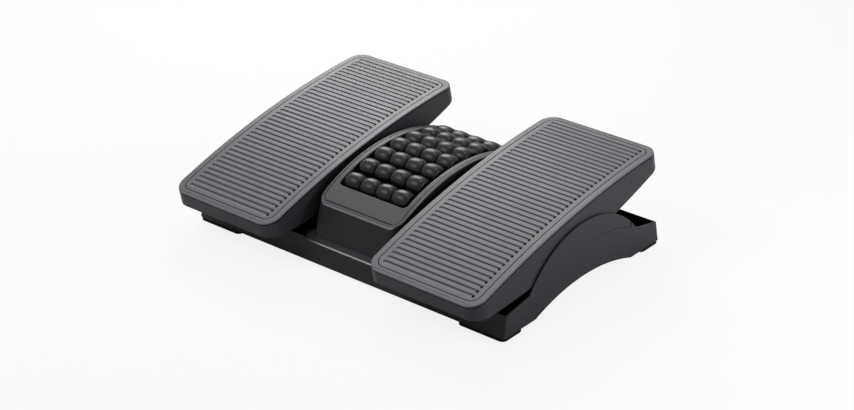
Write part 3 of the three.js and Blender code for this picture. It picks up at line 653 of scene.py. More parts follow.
def pedal_plan(name, inset, corner, low=PEDAL_LOW, high=PEDAL_HIGH):
    """An upright block with the pedal's plan, drawn in by an inset."""
    half, reach = PEDAL_HALF - inset, PEDAL_LENGTH / 2 - inset
    return rounded_block(
        name, (-half, PEDAL_MIDDLE - reach, low), (half, PEDAL_MIDDLE + reach, high), corner)


def pedal_slab(name, low, high, x0=-PEDAL_WIDTH, x1=PEDAL_WIDTH):
    """What lies between two curves over the whole length of the pedal."""
    start, end = PEDAL_MIDDLE - PEDAL_REACH, PEDAL_MIDDLE + PEDAL_REACH
    outline = curve(low, start, end, CROWN_STEPS) + curve(high, start, end, CROWN_STEPS)[::-1]
    return drawn(name, outline, x0, x1)


print("pedal middle:", PEDAL_MIDDLE)

# %% [markdown]
# ## The pedal: what is underneath
# Five cross ribs and two long ones stiffen the top. Two bosses hold the axle, and two flat pads on
# crossed webs come down on the rubber bumpers. They are cut out of the block that hollows the
# pedal, so that they are left standing when it is taken away.

# %% Pedal ribs, bosses and pads
PEDAL_RIB = 0.002
PEDAL_RIB_DEPTH = 0.012
PEDAL_RIB_PITCH = 0.075
PEDAL_RIB_ROWS = 5
PEDAL_RIB_OFFSET = 0.0455
AXLE_RADIUS = 0.004
SEAT_GAP = 0.0003
BOSS_WALL = 0.004
BOSS_END = 0.07015
WELD = 0.0004
STOP_ARM = 0.1
STOP_PAD = 0.018
STOP_PAD_THICKNESS = 0.0025


def pedal_ribs():
    def lower(y):
        return crown(y, PEDAL_TOP_WALL + PEDAL_RIB_DEPTH)

    half = PEDAL_RIB / 2
    rows = []
    for i in range(PEDAL_RIB_ROWS):
        y = PEDAL_MIDDLE + (i - (PEDAL_RIB_ROWS - 1) / 2) * PEDAL_RIB_PITCH
        rows.append(block("rib", (-PEDAL_WIDTH, y - half, lower(y)), (PEDAL_WIDTH, y + half, PEDAL_HIGH)))
    lines = [
        pedal_slab("rib", lower, lambda y: PEDAL_HIGH, side * PEDAL_RIB_OFFSET - half,
                   side * PEDAL_RIB_OFFSET + half)
        for side in SIDES.values()]
    return rows + lines


def pedal_boss(side):
    x0, x1 = span(side, BOSS_END, PEDAL_HALF - PEDAL_WALL + WELD)
    web = block("web", (x0, -PEDAL_RIB / 2, 0), (x1, PEDAL_RIB / 2, PEDAL_HIGH))
    return fuse(rod("boss", AXLE_RADIUS + SEAT_GAP + BOSS_WALL, x0, x1), web)


def stop_pad(y):
    half, web = STOP_PAD / 2, PEDAL_RIB / 2
    pad = block("pad", (-half, y - half, 0), (half, y + half, STOP_PAD_THICKNESS))
    webs = [
        block("web", (-half, y - web, STOP_PAD_THICKNESS - WELD), (half, y + web, PEDAL_HIGH)),
        block("web", (-web, y - half, STOP_PAD_THICKNESS - WELD), (web, y + half, PEDAL_HIGH))]
    return fuse(pad, *webs)


def pedal_hollow():
    """The space under the pedal's top, less what stands in it."""
    space = pedal_plan("pedal_hollow", PEDAL_WALL, PEDAL_CORNER - PEDAL_WALL)
    keep(space, pedal_slab(
        "under_top", lambda y: PEDAL_LOW - OVERRUN, lambda y: crown(y, PEDAL_TOP_WALL)))
    cut(space, *pedal_ribs())
    return cut(space, pedal_boss(-1), pedal_boss(1), stop_pad(-STOP_ARM), stop_pad(STOP_ARM))


print("pedal ribs:", PEDAL_RIB_ROWS, "across and", len(SIDES), "along")

# %% [markdown]
# ## The pedal: its shell
# The mat lies in a shallow seat inside the rim. The rim's outer edge is rounded, and a fine shadow
# groove runs round the skirt just below it, as on the real moulding. A band that follows the crown,
# kept in a block round the skirt and hollowed by a smaller one, cuts that groove.

# %% The two pedal shells
MAT_MARGIN = 0.0095
MAT_CORNER = 0.014
MAT_THICKNESS = 0.0023
RIM_ROUND = 0.0014
SEAT_ROUND = 0.0005
SHADOW_GROOVE_DROP = 0.0018
SHADOW_GROOVE_HEIGHT = 0.0014
SHADOW_GROOVE_DEPTH = 0.0010
HAIR = 0.00005


def shadow_groove():
    """A thin ring round the skirt, parallel to the crown."""
    def upper(y):
        return crown(y, SHADOW_GROOVE_DROP)

    def lower(y):
        return crown(y, SHADOW_GROOVE_DROP + SHADOW_GROOVE_HEIGHT)

    ring = pedal_plan("shadow_groove", -OVERRUN, PEDAL_CORNER + OVERRUN)
    keep(ring, pedal_slab("band", lower, upper, -2 * PEDAL_WIDTH, 2 * PEDAL_WIDTH))
    return cut(ring, pedal_plan("core", SHADOW_GROOVE_DEPTH, PEDAL_CORNER - SHADOW_GROOVE_DEPTH))


def on_crown(point):
    return abs(point.z - crown(point.y)) < SEAT_GAP


def depth_inside(point, inset, corner):
    """How far a point lies inside the pedal's plan drawn in by an inset, and below 0 outside it."""
    beside = abs(point.x) - (PEDAL_HALF - inset - corner)
    beyond = abs(point.y - PEDAL_MIDDLE) - (PEDAL_LENGTH / 2 - inset - corner)
    return corner - math.hypot(max(beside, 0), max(beyond, 0)) - min(max(beside, beyond), 0)


# The shadow groove and the seat round the mat go in the gap zone, painted near-black as shade; the rim
# goes in the zone painted paler as top light.
def shell_zone(face):
    drop = crown(face.center.y) - face.center.z
    from_skirt = depth_inside(face.center, 0, PEDAL_CORNER)
    from_seat = depth_inside(face.center, MAT_MARGIN, MAT_CORNER)
    if HAIR < from_skirt < SHADOW_GROOVE_DEPTH + HAIR and RIM_ROUND + HAIR < drop < SKIRT_DEPTH / 2:
        return GAP_ZONE
    if from_seat > -SEAT_ROUND and HAIR < drop < MAT_THICKNESS + 2 * SEAT_GAP:
        return GAP_ZONE
    return RIM_ZONE if drop < RIM_ROUND else SKIRT_ZONE


def pedal_shell(hand, side):
    shell = pedal_plan(f"{hand}_pedal_casing", 0, PEDAL_CORNER)
    keep(shell, pedal_slab("side_view", belly, crown))
    seat = pedal_plan("mat_seat", MAT_MARGIN, MAT_CORNER)
    keep(seat, pedal_slab(
        "seat_floor", lambda y: crown(y, MAT_THICKNESS + SEAT_GAP), lambda y: PEDAL_HIGH + OVERRUN))
    bore = rod("bore", AXLE_RADIUS + SEAT_GAP, *span(side, PEDAL_WALL - PEDAL_HALF, PEDAL_HALF + OVERRUN))
    cut(shell, seat, pedal_hollow(), bore, shadow_groove())

    def outer(point):
        return depth_inside(point, 0, PEDAL_CORNER) < MAT_MARGIN / 2

    round_edges(shell, RIM_ROUND, WIDE_STEPS, lambda p: on_crown(p) and outer(p))
    round_edges(shell, SEAT_ROUND, FINE_STEPS, lambda p: on_crown(p) and not outer(p))
    zoned(smooth(shell), shell_zone)
    settle(shell, PIVOTS[f"{hand}_pedal"], REST_TILT)
    dress(shell, f"{hand}_pedal", "pedal", f"{hand}_pedal_shell", SATIN, GRAIN_AND_TOP_LIGHT, PAINTED_GAP_SHADE)


for hand, side in SIDES.items():
    pedal_shell(hand, side)

# %% [markdown]
# ## The mat: flat first, bent last
# Forty-one round-ended grooves cross the mat, with leaning walls and a deeper pit at the right end.
# It is far easier to cut and round them while the mat is flat, so the crown comes last, by moving
# each point up by the height of the arc over it. The plate is first bisected in the middle of every
# land, so that no face is too long to bend.

# %% Mat sizes and its groove cutter
GROOVE_COUNT = 41
GROOVE_WIDTH = 0.0048
GROOVE_DEPTH = 0.0012
GROOVE_SIDE_MARGIN = 0.008
GROOVE_END_MARGIN = 0.0095
GROOVE_WALL_LEAN = 0.0010
GROOVE_FLOOR_ROUND = 0.0003
GROOVE_EDGE_ROUND = 0.0007
GROOVE_END_STEPS = 6
WALL_FACING = 0.35
PIT_LENGTH = 0.0042
PIT_WIDTH = 0.0036
PIT_DEPTH = 0.0020
PIT_SHADE_LENGTH = 0.0036
PIT_INSET = 0.0002
PIT_END_STEPS = 4
NEARLY_ROUND = 0.98
MAT_EDGE_ROUND = 0.0005
MAT_INSET = MAT_MARGIN + SEAT_GAP
LAST_GROOVE = PEDAL_LENGTH / 2 - MAT_MARGIN - GROOVE_END_MARGIN
GROOVE_PITCH = 2 * LAST_GROOVE / (GROOVE_COUNT - 1)


def row_of(piece, count, pitch):
    """Copies a piece along Y with an Array modifier."""
    take(piece)
    array = piece.modifiers.new("row", "ARRAY")
    array.count = count
    array.use_relative_offset = False
    array.use_constant_offset = True
    array.constant_offset_displace = (0, pitch, 0)
    bpy.ops.object.modifier_apply(modifier=array.name)
    return piece


def groove_cutters():
    """A row of round-ended bars that cut the grooves, and a row of pits for their right ends."""
    half = PEDAL_HALF - MAT_MARGIN - GROOVE_SIDE_MARGIN
    radius = GROOVE_WIDTH / 2
    y = PEDAL_MIDDLE - LAST_GROOVE
    bar = rounded_block(
        "groove", (-half, y - radius, -GROOVE_DEPTH), (half, y + radius, GROOVE_DEPTH),
        radius * NEARLY_ROUND, GROOVE_END_STEPS)
    for end, side in ((-1, -1), (-1, 1), (1, -1), (1, 1)):
        choose(bar, lambda point: end * point.co.z > 0 and side * point.co.x > 0, "VERT")
        wider = 1 + end * GROOVE_WALL_LEAN / radius
        round_middle = (side * (half - radius), y, end * GROOVE_DEPTH)
        bpy.ops.transform.resize(value=(wider, wider, 1), center_override=round_middle)
        done()
    round_edges(bar, GROOVE_FLOOR_ROUND, FINE_STEPS, lambda p: abs(p.z + GROOVE_DEPTH) < SAME_POINT)
    end = half - PIT_INSET
    pit = rounded_block(
        "pit", (end - PIT_LENGTH, y - PIT_WIDTH / 2, -PIT_DEPTH),
        (end, y + PIT_WIDTH / 2, -GROOVE_DEPTH / 2), PIT_WIDTH / 2 * NEARLY_ROUND, PIT_END_STEPS)
    return [row_of(piece, GROOVE_COUNT, GROOVE_PITCH) for piece in (bar, pit)]


print("groove pitch:", round(GROOVE_PITCH * 1000, 3), "mm")

# %% [markdown]
# ## The mat: cut, rounded and bent
# The edges along the grooves are rounded more than the mat's own edge, which stays crisp beside the
# rim. One mat is made and copied, so both pedals get the same one. The groove walls that face the
# heel are painted darker as painted shade, and the pits and the edge are painted near-black as painted
# shade.

# %% The two mats
def bend_to_crown(piece):
    """Moves each point up by the height of the crown over it."""
    for point in piece.data.vertices:
        point.co.z += crown(point.co.y)


def bisect_lands(piece):
    """Cuts the flat mat across the middle of each land."""
    for i in range(GROOVE_COUNT + 1):
        y = PEDAL_MIDDLE - LAST_GROOVE + (i - 0.5) * GROOVE_PITCH
        choose(piece, lambda face: True, "FACE")
        bpy.ops.mesh.bisect(plane_co=(0, y, 0), plane_no=(0, 1, 0))
        done()


def flat_mat():
    plate = pedal_plan("flat_mat", MAT_INSET, MAT_CORNER - SEAT_GAP, -MAT_THICKNESS, 0)
    bisect_lands(plate)
    cut(plate, *groove_cutters())
    beside, beyond = PEDAL_HALF - MAT_INSET, PEDAL_LENGTH / 2 - MAT_INSET

    def in_a_groove(point):
        return (abs(point.x) < beside - GROOVE_SIDE_MARGIN / 2
                and abs(point.y - PEDAL_MIDDLE) < beyond - GROOVE_WIDTH)

    round_edges(plate, GROOVE_EDGE_ROUND, MEDIUM_STEPS,
                lambda p: abs(p.z) < SAME_POINT and in_a_groove(p))
    round_edges(plate, MAT_EDGE_ROUND, FINE_STEPS,
                lambda p: abs(p.z) < SAME_POINT and not in_a_groove(p))
    return smooth(plate)


def mat_zone(face):
    """1 on the groove walls that face the heel, painted shade; 2 in pits and along the mat's edge, painted
    near-black as shade; 0 elsewhere.
    """
    in_pit = face.center.z < -GROOVE_DEPTH - HAIR
    on_wall = not in_pit and face.center.z < -HAIR
    at_pit = face.center.x > PEDAL_HALF - MAT_MARGIN - GROOVE_SIDE_MARGIN - PIT_SHADE_LENGTH
    at_edge = depth_inside(face.center, MAT_INSET, MAT_CORNER - SEAT_GAP) < MAT_EDGE_ROUND
    if in_pit or on_wall and (at_pit or at_edge):
        return GAP_ZONE
    return int(on_wall and face.normal.y < -WALL_FACING)


level_mat = flat_mat()
zoned(level_mat, mat_zone)
bend_to_crown(level_mat)
for hand in SIDES:
    mat = settle(copied(level_mat, f"{hand}_grooved_mat"), PIVOTS[f"{hand}_pedal"], REST_TILT)
    dress(mat, f"{hand}_pedal", "mat", f"{hand}_pedal_mat", GRAIN_AND_TOP_LIGHT, GROOVE_WALL_SHADE, PAINTED_GAP_SHADE)
bpy.data.objects.remove(level_mat)

# %% [markdown]
# ## The tray: its outline
# The tray is one black moulding. Seen from the side it has low end walls that lean inwards, an
# arched lower edge, and a tall dome on either side that hides the end of the pedal's axle. So the
# same drawing method works again: a side view that is pulled across, kept inside a leaning block.

# %% Tray sizes
TRAY_WALL = 0.0025
TRAY_CORNER = 0.004
TRAY_LEAN = math.tan(math.radians(9.8))
FRONT_WALL_TOP = 0.0362
REAR_WALL_TOP = 0.0336
DOME_RADIUS = 0.143
DOME_MIDDLE = 0.001
DOME_HALF_ANGLE = math.radians(53.5)
ARCH_RISE = 0.0194
ARCH_HALF_SPAN = 0.103
BLOCK_TOP = 0.038
BLOCK_SHOULDER = 0.0035
ARC_STEPS = 56

BLOCK_HALF = HOUSING_HALF_WIDTH + BLOCK_SHOULDER
WALL_INNER = TRAY_HALF_WIDTH - TRAY_WALL
TRAY_END = TRAY_HALF_DEPTH + OVERRUN
SKY = HOUSING_TOP + OVERRUN


def end_y(z):
    return TRAY_HALF_DEPTH - TRAY_LEAN * (z - TRAY_FOOT)


def arch(y):
    radius = arc_radius(ARCH_HALF_SPAN, ARCH_RISE)
    return arc_height(TRAY_FOOT + ARCH_RISE, radius, min(abs(y), ARCH_HALF_SPAN))


def lower_edge(lift=0):
    bow_points = curve(lambda y: arch(y) + lift, -ARCH_HALF_SPAN, ARCH_HALF_SPAN, ARC_STEPS)
    return [(-TRAY_END, TRAY_FOOT + lift), *bow_points, (TRAY_END, TRAY_FOOT + lift)]


def dome_point(turn):
    return DOME_MIDDLE + DOME_RADIUS * math.sin(turn), DOME_TOP - DOME_RADIUS * (1 - math.cos(turn))


def dome_edge():
    return [dome_point(DOME_HALF_ANGLE * (1 - 2 * i / ARC_STEPS)) for i in range(ARC_STEPS + 1)]


def wall_top(y):
    """The straight line over the tops of the rear wall and the front wall."""
    rear_y, front_y = end_y(REAR_WALL_TOP), -end_y(FRONT_WALL_TOP)
    return REAR_WALL_TOP + (FRONT_WALL_TOP - REAR_WALL_TOP) * (y - rear_y) / (front_y - rear_y)


def raised(top_edge, x0, x1):
    """What rises above the walls' tops. It starts within the walls, so that no two faces coincide."""
    low = (TRAY_FOOT + ARCH_RISE + REAR_WALL_TOP) / 2
    rear = [(TRAY_END, low), (TRAY_END, REAR_WALL_TOP), (end_y(REAR_WALL_TOP), REAR_WALL_TOP)]
    front = [(-end_y(FRONT_WALL_TOP), FRONT_WALL_TOP), (-TRAY_END, FRONT_WALL_TOP), (-TRAY_END, low)]
    return drawn("raised", [*rear, *top_edge, *front], x0, x1)


def front_slope_y(z):
    """Where the straight edge from the front wall to the dome reaches a height."""
    foot_y, foot_z = dome_point(-DOME_HALF_ANGLE)
    share = (z - FRONT_WALL_TOP) / (foot_z - FRONT_WALL_TOP)
    return -end_y(FRONT_WALL_TOP) + share * (foot_y + end_y(FRONT_WALL_TOP))


def between_ends(floor_edge, roof, x0, x1):
    """The space between the end walls, from a floor up to a roof."""
    low = floor_edge[0][1]
    inner = [end_y(low) - TRAY_WALL, end_y(roof) - TRAY_WALL]
    outline = [(-inner[0], low), *floor_edge[1:-1], (inner[0], low), (inner[1], roof), (-inner[1], roof)]
    return drawn("space", outline, x0, x1)


print("tray ends lean to", round(end_y(FRONT_WALL_TOP), 4))

# %% [markdown]
# ## The tray: what stands on its floor
# Each pedal has two pillars for its axle bushes and two posts for its rubber bumpers. All are
# flared at the foot and hollow from below, as moulded stands are, so that they don't sink in as
# they cool. The heights of the posts follow from the tilt at which the pedal lands on them.

# %% Pillars and posts
RUNNING_GAP = 0.00035
BUSH_WALL = 0.0028
PILLAR_OFFSET = 0.062
PILLAR_THICKNESS = 0.012
PILLAR_LENGTH = 0.026
PILLAR_RISE = 0.004
STAND_FLARE = 0.004
CORE_WALL = 0.0024
TIPPED_TILT = math.radians(-13)
BUMPER_RADIUS = 0.007
BUMPER_CROWN_RADIUS = 0.012
BUMPER_HEIGHT = 0.005
BUMPER_STUD_RADIUS = 0.0025
BUMPER_STUD_LENGTH = 0.006
POST_WIDTH = 0.019
SLOT_STEPS = 16

PIVOT = PIVOTS["right_pedal"] - TRAY_MIDDLE
BORE_RADIUS = AXLE_RADIUS + RUNNING_GAP
BUSH_RADIUS = BORE_RADIUS + BUSH_WALL
SLOT_RADIUS = BUSH_RADIUS + SEAT_GAP


def stand(x, y, width, length, shoulder, top):
    """A stand and its hollow core: flared up to its shoulder, then straight."""
    low = TRAY_FOOT - OVERRUN
    half_width, half_length = width / 2, length / 2
    body = flared_block("stand", x, y, width, length, STAND_FLARE, low, shoulder)
    head = block("head", (x - half_width, y - half_length, shoulder - WELD),
                 (x + half_width, y + half_length, top))
    roof = [(TRAY_END, SKY), (-TRAY_END, SKY)]
    above_arch = drawn("above_arch", [*lower_edge(WELD), *roof], -TRAY_HALF_WIDTH, TRAY_HALF_WIDTH)
    core = flared_block("core", x, y, width - 2 * CORE_WALL, length - 2 * CORE_WALL,
                        STAND_FLARE, low, shoulder)
    return keep(fuse(body, head), above_arch), core


def slot_outline(radius, y, z, top):
    """A slot with a round bottom about y, z, open upwards to a height."""
    turns = [math.pi * (1 + i / SLOT_STEPS) for i in range(SLOT_STEPS + 1)]
    bottom = [(y + radius * math.cos(turn), z + radius * math.sin(turn)) for turn in turns]
    return [(y - radius, top), *bottom, (y + radius, top)]


def pillar(x):
    shoulder = PIVOT.z - SLOT_RADIUS - CORE_WALL
    body, core = stand(x, PIVOT.y, PILLAR_THICKNESS, PILLAR_LENGTH, shoulder, PIVOT.z + PILLAR_RISE)
    slot = drawn("slot", slot_outline(SLOT_RADIUS, PIVOT.y, PIVOT.z, SKY),
                 x - PILLAR_THICKNESS, x + PILLAR_THICKNESS)
    return cut(body, slot), core


def bumper_place(tilt):
    """Where a bumper's crown just misses the pad that comes down on it at a tilt."""
    arm = -math.copysign(STOP_ARM, tilt)
    reach = BUMPER_CROWN_RADIUS + SEAT_GAP
    y = PIVOT.y + arm * math.cos(tilt) + reach * math.sin(tilt)
    top = PIVOT.z + arm * math.sin(tilt) - reach * math.cos(tilt) + BUMPER_CROWN_RADIUS
    return y, top - BUMPER_HEIGHT


def bumper_post(x, tilt):
    y, seat = bumper_place(tilt)
    top = seat - SEAT_GAP
    shoulder = top - CORE_WALL
    body, core = stand(x, y, POST_WIDTH, POST_WIDTH, shoulder, top)
    hole = post("hole", BUMPER_STUD_RADIUS + SEAT_GAP, x, y, shoulder - WELD, top + OVERRUN)
    return body, fuse(core, hole)


print("pivot above the floor:", round(PIVOT.z, 4))

# %% [markdown]
# ## The tray: the bright front edge
# The front edge of the middle block is cut to a slope in three facets, and the polished middle one
# catches the light as one bright strip, with a paler base colour as a painted highlight. That cut would
# go through the wall. So the same shape, set in by the thickness of the wall, is taken out of the hollow
# and stays as a lining behind it.

# %% The front edge
STRIP_SLOPE = 46
EDGE_FACETS = ((25, 0.0008), (STRIP_SLOPE, 0.0032), (60, 0.0072))
EDGE_DROP = 0.0051
EDGE_OVERSHOOT = 0.001
SLOPE_MATCH = 0.03


def block_front_edge():
    """What three facets, each with its own slope, leave outside them along the block's front edge."""
    corner = Vector((-end_y(FRONT_WALL_TOP), FRONT_WALL_TOP))
    steps = []
    for slope, length in EDGE_FACETS:
        turn = math.radians(slope)
        steps.append(Vector((math.sin(turn), math.cos(turn))) * length)
    point = corner + Vector((-TRAY_LEAN, -1)) * EDGE_DROP
    outline = [corner + Vector((-OVERRUN, OVERRUN)), point - steps[0].normalized() * EDGE_OVERSHOOT]
    for step in steps:
        point = point + step
        outline.append(point.copy())
    outline[-1] = point + steps[-1].normalized() * EDGE_OVERSHOOT
    return drawn("front_edge", [tuple(place) for place in outline], -BLOCK_HALF - WELD, BLOCK_HALF + WELD)


print("bright facet:", EDGE_FACETS[1][1] * 1000, "mm wide, at", STRIP_SLOPE, "degrees")

# %% [markdown]
# ## The tray: feet, screws and the panel on the dome
# Round holes take the studs of the rubber feet and the four screws that hold the housing down. On
# the outside of each dome a panel is set back by less than a millimetre behind a curved crease.
# A wedge that starts at nothing at the front cuts that panel.

# %% Holes and reliefs
BLOCK_RIB = 0.0022
BLOCK_RIB_LIFT = 0.004
BLOCK_RIB_PITCH = 0.06
BLOCK_RIB_ROWS = 5
BLOCK_RIB_OFFSET = 0.025
RELIEF_DEPTH = 0.0009
RELIEF_START = 0.00003
RELIEF_RADIUS = 0.245
RELIEF_CREST = 0.0706
RELIEF_MIDDLE = 0.006
RELIEF_FRONT = -0.025
RELIEF_REAR = 0.1047
HOUSING_MIDDLE = 0.003
HOUSING_END_MARGIN = 0.0073
SCREW_SIDE_INSET = 0.024
SCREW_END_INSET = 0.016
SCREW_SHANK_RADIUS = 0.0019
SCREW_HEAD_RADIUS = 0.004
SCREW_HEAD_HEIGHT = 0.0024
SCREW_BITE = 0.014
FOOT_WIDTH = 0.078
FOOT_DEPTH = 0.041
FOOT_HEIGHT = 0.0045
FOOT_INSET = 0.0004
FOOT_CORNER = 0.008
FOOT_STUD_RADIUS = 0.004
FOOT_STUD_PROUD = 0.0015

HOUSING_FOOT_HALF = end_y(BLOCK_TOP) - HOUSING_END_MARGIN
SCREW_X = HOUSING_HALF_WIDTH - SCREW_SIDE_INSET
SCREW_Y = HOUSING_FOOT_HALF - SCREW_END_INSET
SCREW_PLACES = [(x, HOUSING_MIDDLE + y) for x in (-SCREW_X, SCREW_X) for y in (-SCREW_Y, SCREW_Y)]
SCREW_TIP = HOUSING_FOOT + SCREW_BITE
HEAD_TOP = BLOCK_TOP - TRAY_WALL - SEAT_GAP
FOOT_X = TRAY_HALF_WIDTH - FOOT_INSET - FOOT_WIDTH / 2
FOOT_Y = TRAY_HALF_DEPTH - FOOT_INSET - FOOT_DEPTH / 2
FOOT_PLACES = {
    f"{row}_{hand}_foot": (side * FOOT_X, end * FOOT_Y)
    for row, end in (("front", -1), ("rear", 1)) for hand, side in SIDES.items()}
STUD_TOP = TRAY_FOOT + TRAY_WALL + FOOT_STUD_PROUD


def block_hollow():
    """Underside of the middle block, less the ribs that are left standing in it."""
    half, rib = BLOCK_HALF - TRAY_WALL, BLOCK_RIB / 2
    space = between_ends(lower_edge(-OVERRUN), BLOCK_TOP - TRAY_WALL, -half, half)
    above = [(TRAY_END, BLOCK_TOP), (-TRAY_END, BLOCK_TOP)]
    ribs = []
    for x in (-BLOCK_RIB_OFFSET, BLOCK_RIB_OFFSET):
        ribs.append(drawn("rib", [*lower_edge(BLOCK_RIB_LIFT), *above], x - rib, x + rib))
    for i in range(BLOCK_RIB_ROWS):
        y = (i - (BLOCK_RIB_ROWS - 1) / 2) * BLOCK_RIB_PITCH
        low = arch(abs(y) + rib) + BLOCK_RIB_LIFT
        ribs.append(block("rib", (-half, y - rib, low), (half, y + rib, BLOCK_TOP)))
    turn = math.radians(STRIP_SLOPE)
    lining = settle(block_front_edge(), (0, TRAY_WALL * math.cos(turn), -TRAY_WALL * math.sin(turn)))
    return cut(space, lining, *ribs)


def relief(side):
    """The wedge that sets back the panel of one dome."""
    def crease(y):
        return arc_height(RELIEF_CREST, RELIEF_RADIUS, y - RELIEF_MIDDLE)

    lower = curve(crease, RELIEF_FRONT, RELIEF_REAR, ARC_STEPS)
    panel = drawn("panel", [*lower, (RELIEF_REAR, SKY), (RELIEF_FRONT, SKY)],
                  *span(side, WALL_INNER, TRAY_HALF_WIDTH + OVERRUN))
    face, past = side * TRAY_HALF_WIDTH, side * (TRAY_HALF_WIDTH + OVERRUN)
    inner = face - side * RELIEF_DEPTH
    start = face + side * RELIEF_START
    wedge = [(start, RELIEF_FRONT), (past, RELIEF_FRONT), (past, RELIEF_REAR), (inner, RELIEF_REAR)]
    return keep(panel, drawn("wedge", wedge, 0, SKY, plane="plan"))


def holes(places, radius, low, high):
    """Upright holes for studs or screws of a radius, with a seat's gap round them."""
    return [post("hole", radius + SEAT_GAP, x, y, low, high) for x, y in places]


print("feet at", [round(x, 4) for x in FOOT_PLACES["front_right_foot"]])

# %% [markdown]
# ## The tray: put together
# The outside is kept first, then hollowed, and only then do the stands join it, so that the wells
# don't cut them away. Then the top edges of the walls are rounded, and the panels, the front edge and
# the holes are cut.

# %% The tray
WALL_ROUND = 0.0006
FACING_SIDEWAYS = 0.7


def tray_zone(face):
    """1 on the bright facet of the block's front edge, painted paler as a highlight, 2 outside on the side
    walls, painted lighter as light, 0 elsewhere.
    """
    if abs(face.normal.x) > FACING_SIDEWAYS and abs(face.center.x) > WALL_INNER:
        return 2
    sloping = abs(face.normal.z - math.sin(math.radians(STRIP_SLOPE))) < SLOPE_MATCH
    on_edge = abs(face.center.x) < BLOCK_HALF and abs(face.center.z - FRONT_WALL_TOP) < OVERRUN
    return int(sloping and face.normal.y < 0 and on_edge)


def on_wall_top(point):
    """Whether a point lies on the top edge of an outer wall."""
    beside = abs(point.x) > WALL_INNER - SAME_POINT
    at_end = abs(point.y) > end_y(point.z) - TRAY_WALL - SAME_POINT and abs(point.x) > BLOCK_HALF
    return point.z > REAR_WALL_TOP - SAME_POINT and (beside or at_end)


def tray():
    reach = TRAY_HALF_WIDTH + OVERRUN
    block_edge = [(HOUSING_MIDDLE + HOUSING_FOOT_HALF, BLOCK_TOP), (front_slope_y(BLOCK_TOP), BLOCK_TOP)]
    body = leaning_block("black_tray", TRAY_HALF_WIDTH, TRAY_HALF_DEPTH, TRAY_LEAN, 0,
                         TRAY_FOOT - OVERRUN, SKY, TRAY_CORNER)
    wall_tops = [(y, wall_top(y)) for y in (TRAY_END, -TRAY_END)]
    low_part = drawn("low_part", [*lower_edge(), *wall_tops], -reach, reach)
    walls = [raised(dome_edge(), *span(side, WALL_INNER - WELD, reach)) for side in SIDES.values()]
    keep(body, fuse(low_part, raised(block_edge, -BLOCK_HALF - WELD, BLOCK_HALF + WELD), *walls))
    for side in SIDES.values():
        cut(body, between_ends(lower_edge(TRAY_WALL), SKY, *span(side, BLOCK_HALF, WALL_INNER)))
    stands = [pillar(side * PIVOT.x + end * PILLAR_OFFSET) for side in (-1, 1) for end in (-1, 1)]
    stands += [
        bumper_post(side * PIVOT.x, tilt) for side in (-1, 1) for tilt in (REST_TILT, TIPPED_TILT)]
    fuse(body, *[outside for outside, core in stands])
    cut(body, *[core for outside, core in stands], block_hollow())
    round_edges(body, WALL_ROUND, FINE_STEPS, on_wall_top)
    cut(body, relief(-1), relief(1), block_front_edge())
    cut(body, *holes(FOOT_PLACES.values(), FOOT_STUD_RADIUS, TRAY_FOOT - OVERRUN, STUD_TOP))
    cut(body, *holes(SCREW_PLACES, SCREW_SHANK_RADIUS, TRAY_FOOT + ARCH_RISE, BLOCK_TOP + OVERRUN))
    zoned(smooth(body), tray_zone)
    settle(body, TRAY_MIDDLE)
    dress(body, "base", "tray", "base_tray", TRAY_BLACK, POLISH_AND_PAINTED_HIGHLIGHT, SIDE_PAINTED_LIGHT)


tray()

# %% [markdown]
# ## The roller housing
# The housing is a box with leaning ends under an arched top. The cover sinks into its rim, and
# under the cover two rails carry the axles of the rollers in open notches. All heights along the
# arch are distances from its centre, far below the floor.

# %% Housing sizes
HOUSING_RADIUS = 0.2683
HOUSING_LEAN = math.tan(math.radians(18.3))
HOUSING_CORNER = 0.016
HOUSING_WALL = 0.0026
RIM_WIDTH = 0.0044
RAIL_END_WALL = 0.0011
RAIL_DEPTH = 0.014
COVER_THICKNESS = 0.003
DECK_THICKNESS = 0.0027
ROLLER_AXLE_RADIUS = 0.002
ROLLER_AXLE_REACH = 0.005
ROLLER_END_PLAY = 0.0007
ROLLER_SINK = 0.0085
LOBE_RADIUS = 0.015
LOBE_PITCH = 0.028
LOBE_COUNT = 4
SCREW_BOSS_RADIUS = 0.005
OPENING_SIDE_GAP = 0.004
OPENING_END_GAP = 0.0028
OPENING_CORNER = 0.006
OPENING_STEPS = 10
BAY_MARGIN = 0.003

ARCH_CENTRE = HOUSING_TOP - HOUSING_RADIUS
HOUSING_LOW = HOUSING_FOOT - OVERRUN
ROLLER_TURN_RADIUS = HOUSING_RADIUS - ROLLER_SINK
ROLLERS = [name for name in PIVOTS if name.startswith("massage_roller")]
ROLLER_ANGLES = [math.asin((PIVOTS[name].y - TRAY_MIDDLE.y - HOUSING_MIDDLE) / ROLLER_TURN_RADIUS)
                 for name in ROLLERS]
NOTCH_END = HOUSING_HALF_WIDTH - RIM_WIDTH - RAIL_END_WALL
ROLLER_AXLE_END = NOTCH_END - ROLLER_END_PLAY
BAY_HALF = ROLLER_AXLE_END - ROLLER_AXLE_REACH
HUB_END = BAY_HALF - ROLLER_END_PLAY
NOTCH_RADIUS = ROLLER_AXLE_RADIUS + RUNNING_GAP
DECK_TOP = COVER_THICKNESS + SEAT_GAP
OPENING_HALF_WIDTH = LOBE_COUNT * LOBE_PITCH / 2 + OPENING_SIDE_GAP
OPENING_HALF_LENGTH = ROLLER_TURN_RADIUS * math.sin(max(ROLLER_ANGLES)) + LOBE_RADIUS + OPENING_END_GAP
print("rollers:", len(ROLLERS), "opening:", round(OPENING_HALF_LENGTH * 2, 4))

# %% [markdown]
# ## Measuring along the arch
# A solid that ends at the arch, or at a depth under it, gives the housing's top, its deck and both
# faces of the cover. What belongs to one roller is made over the arch's centre and then swung to
# that roller's angle.

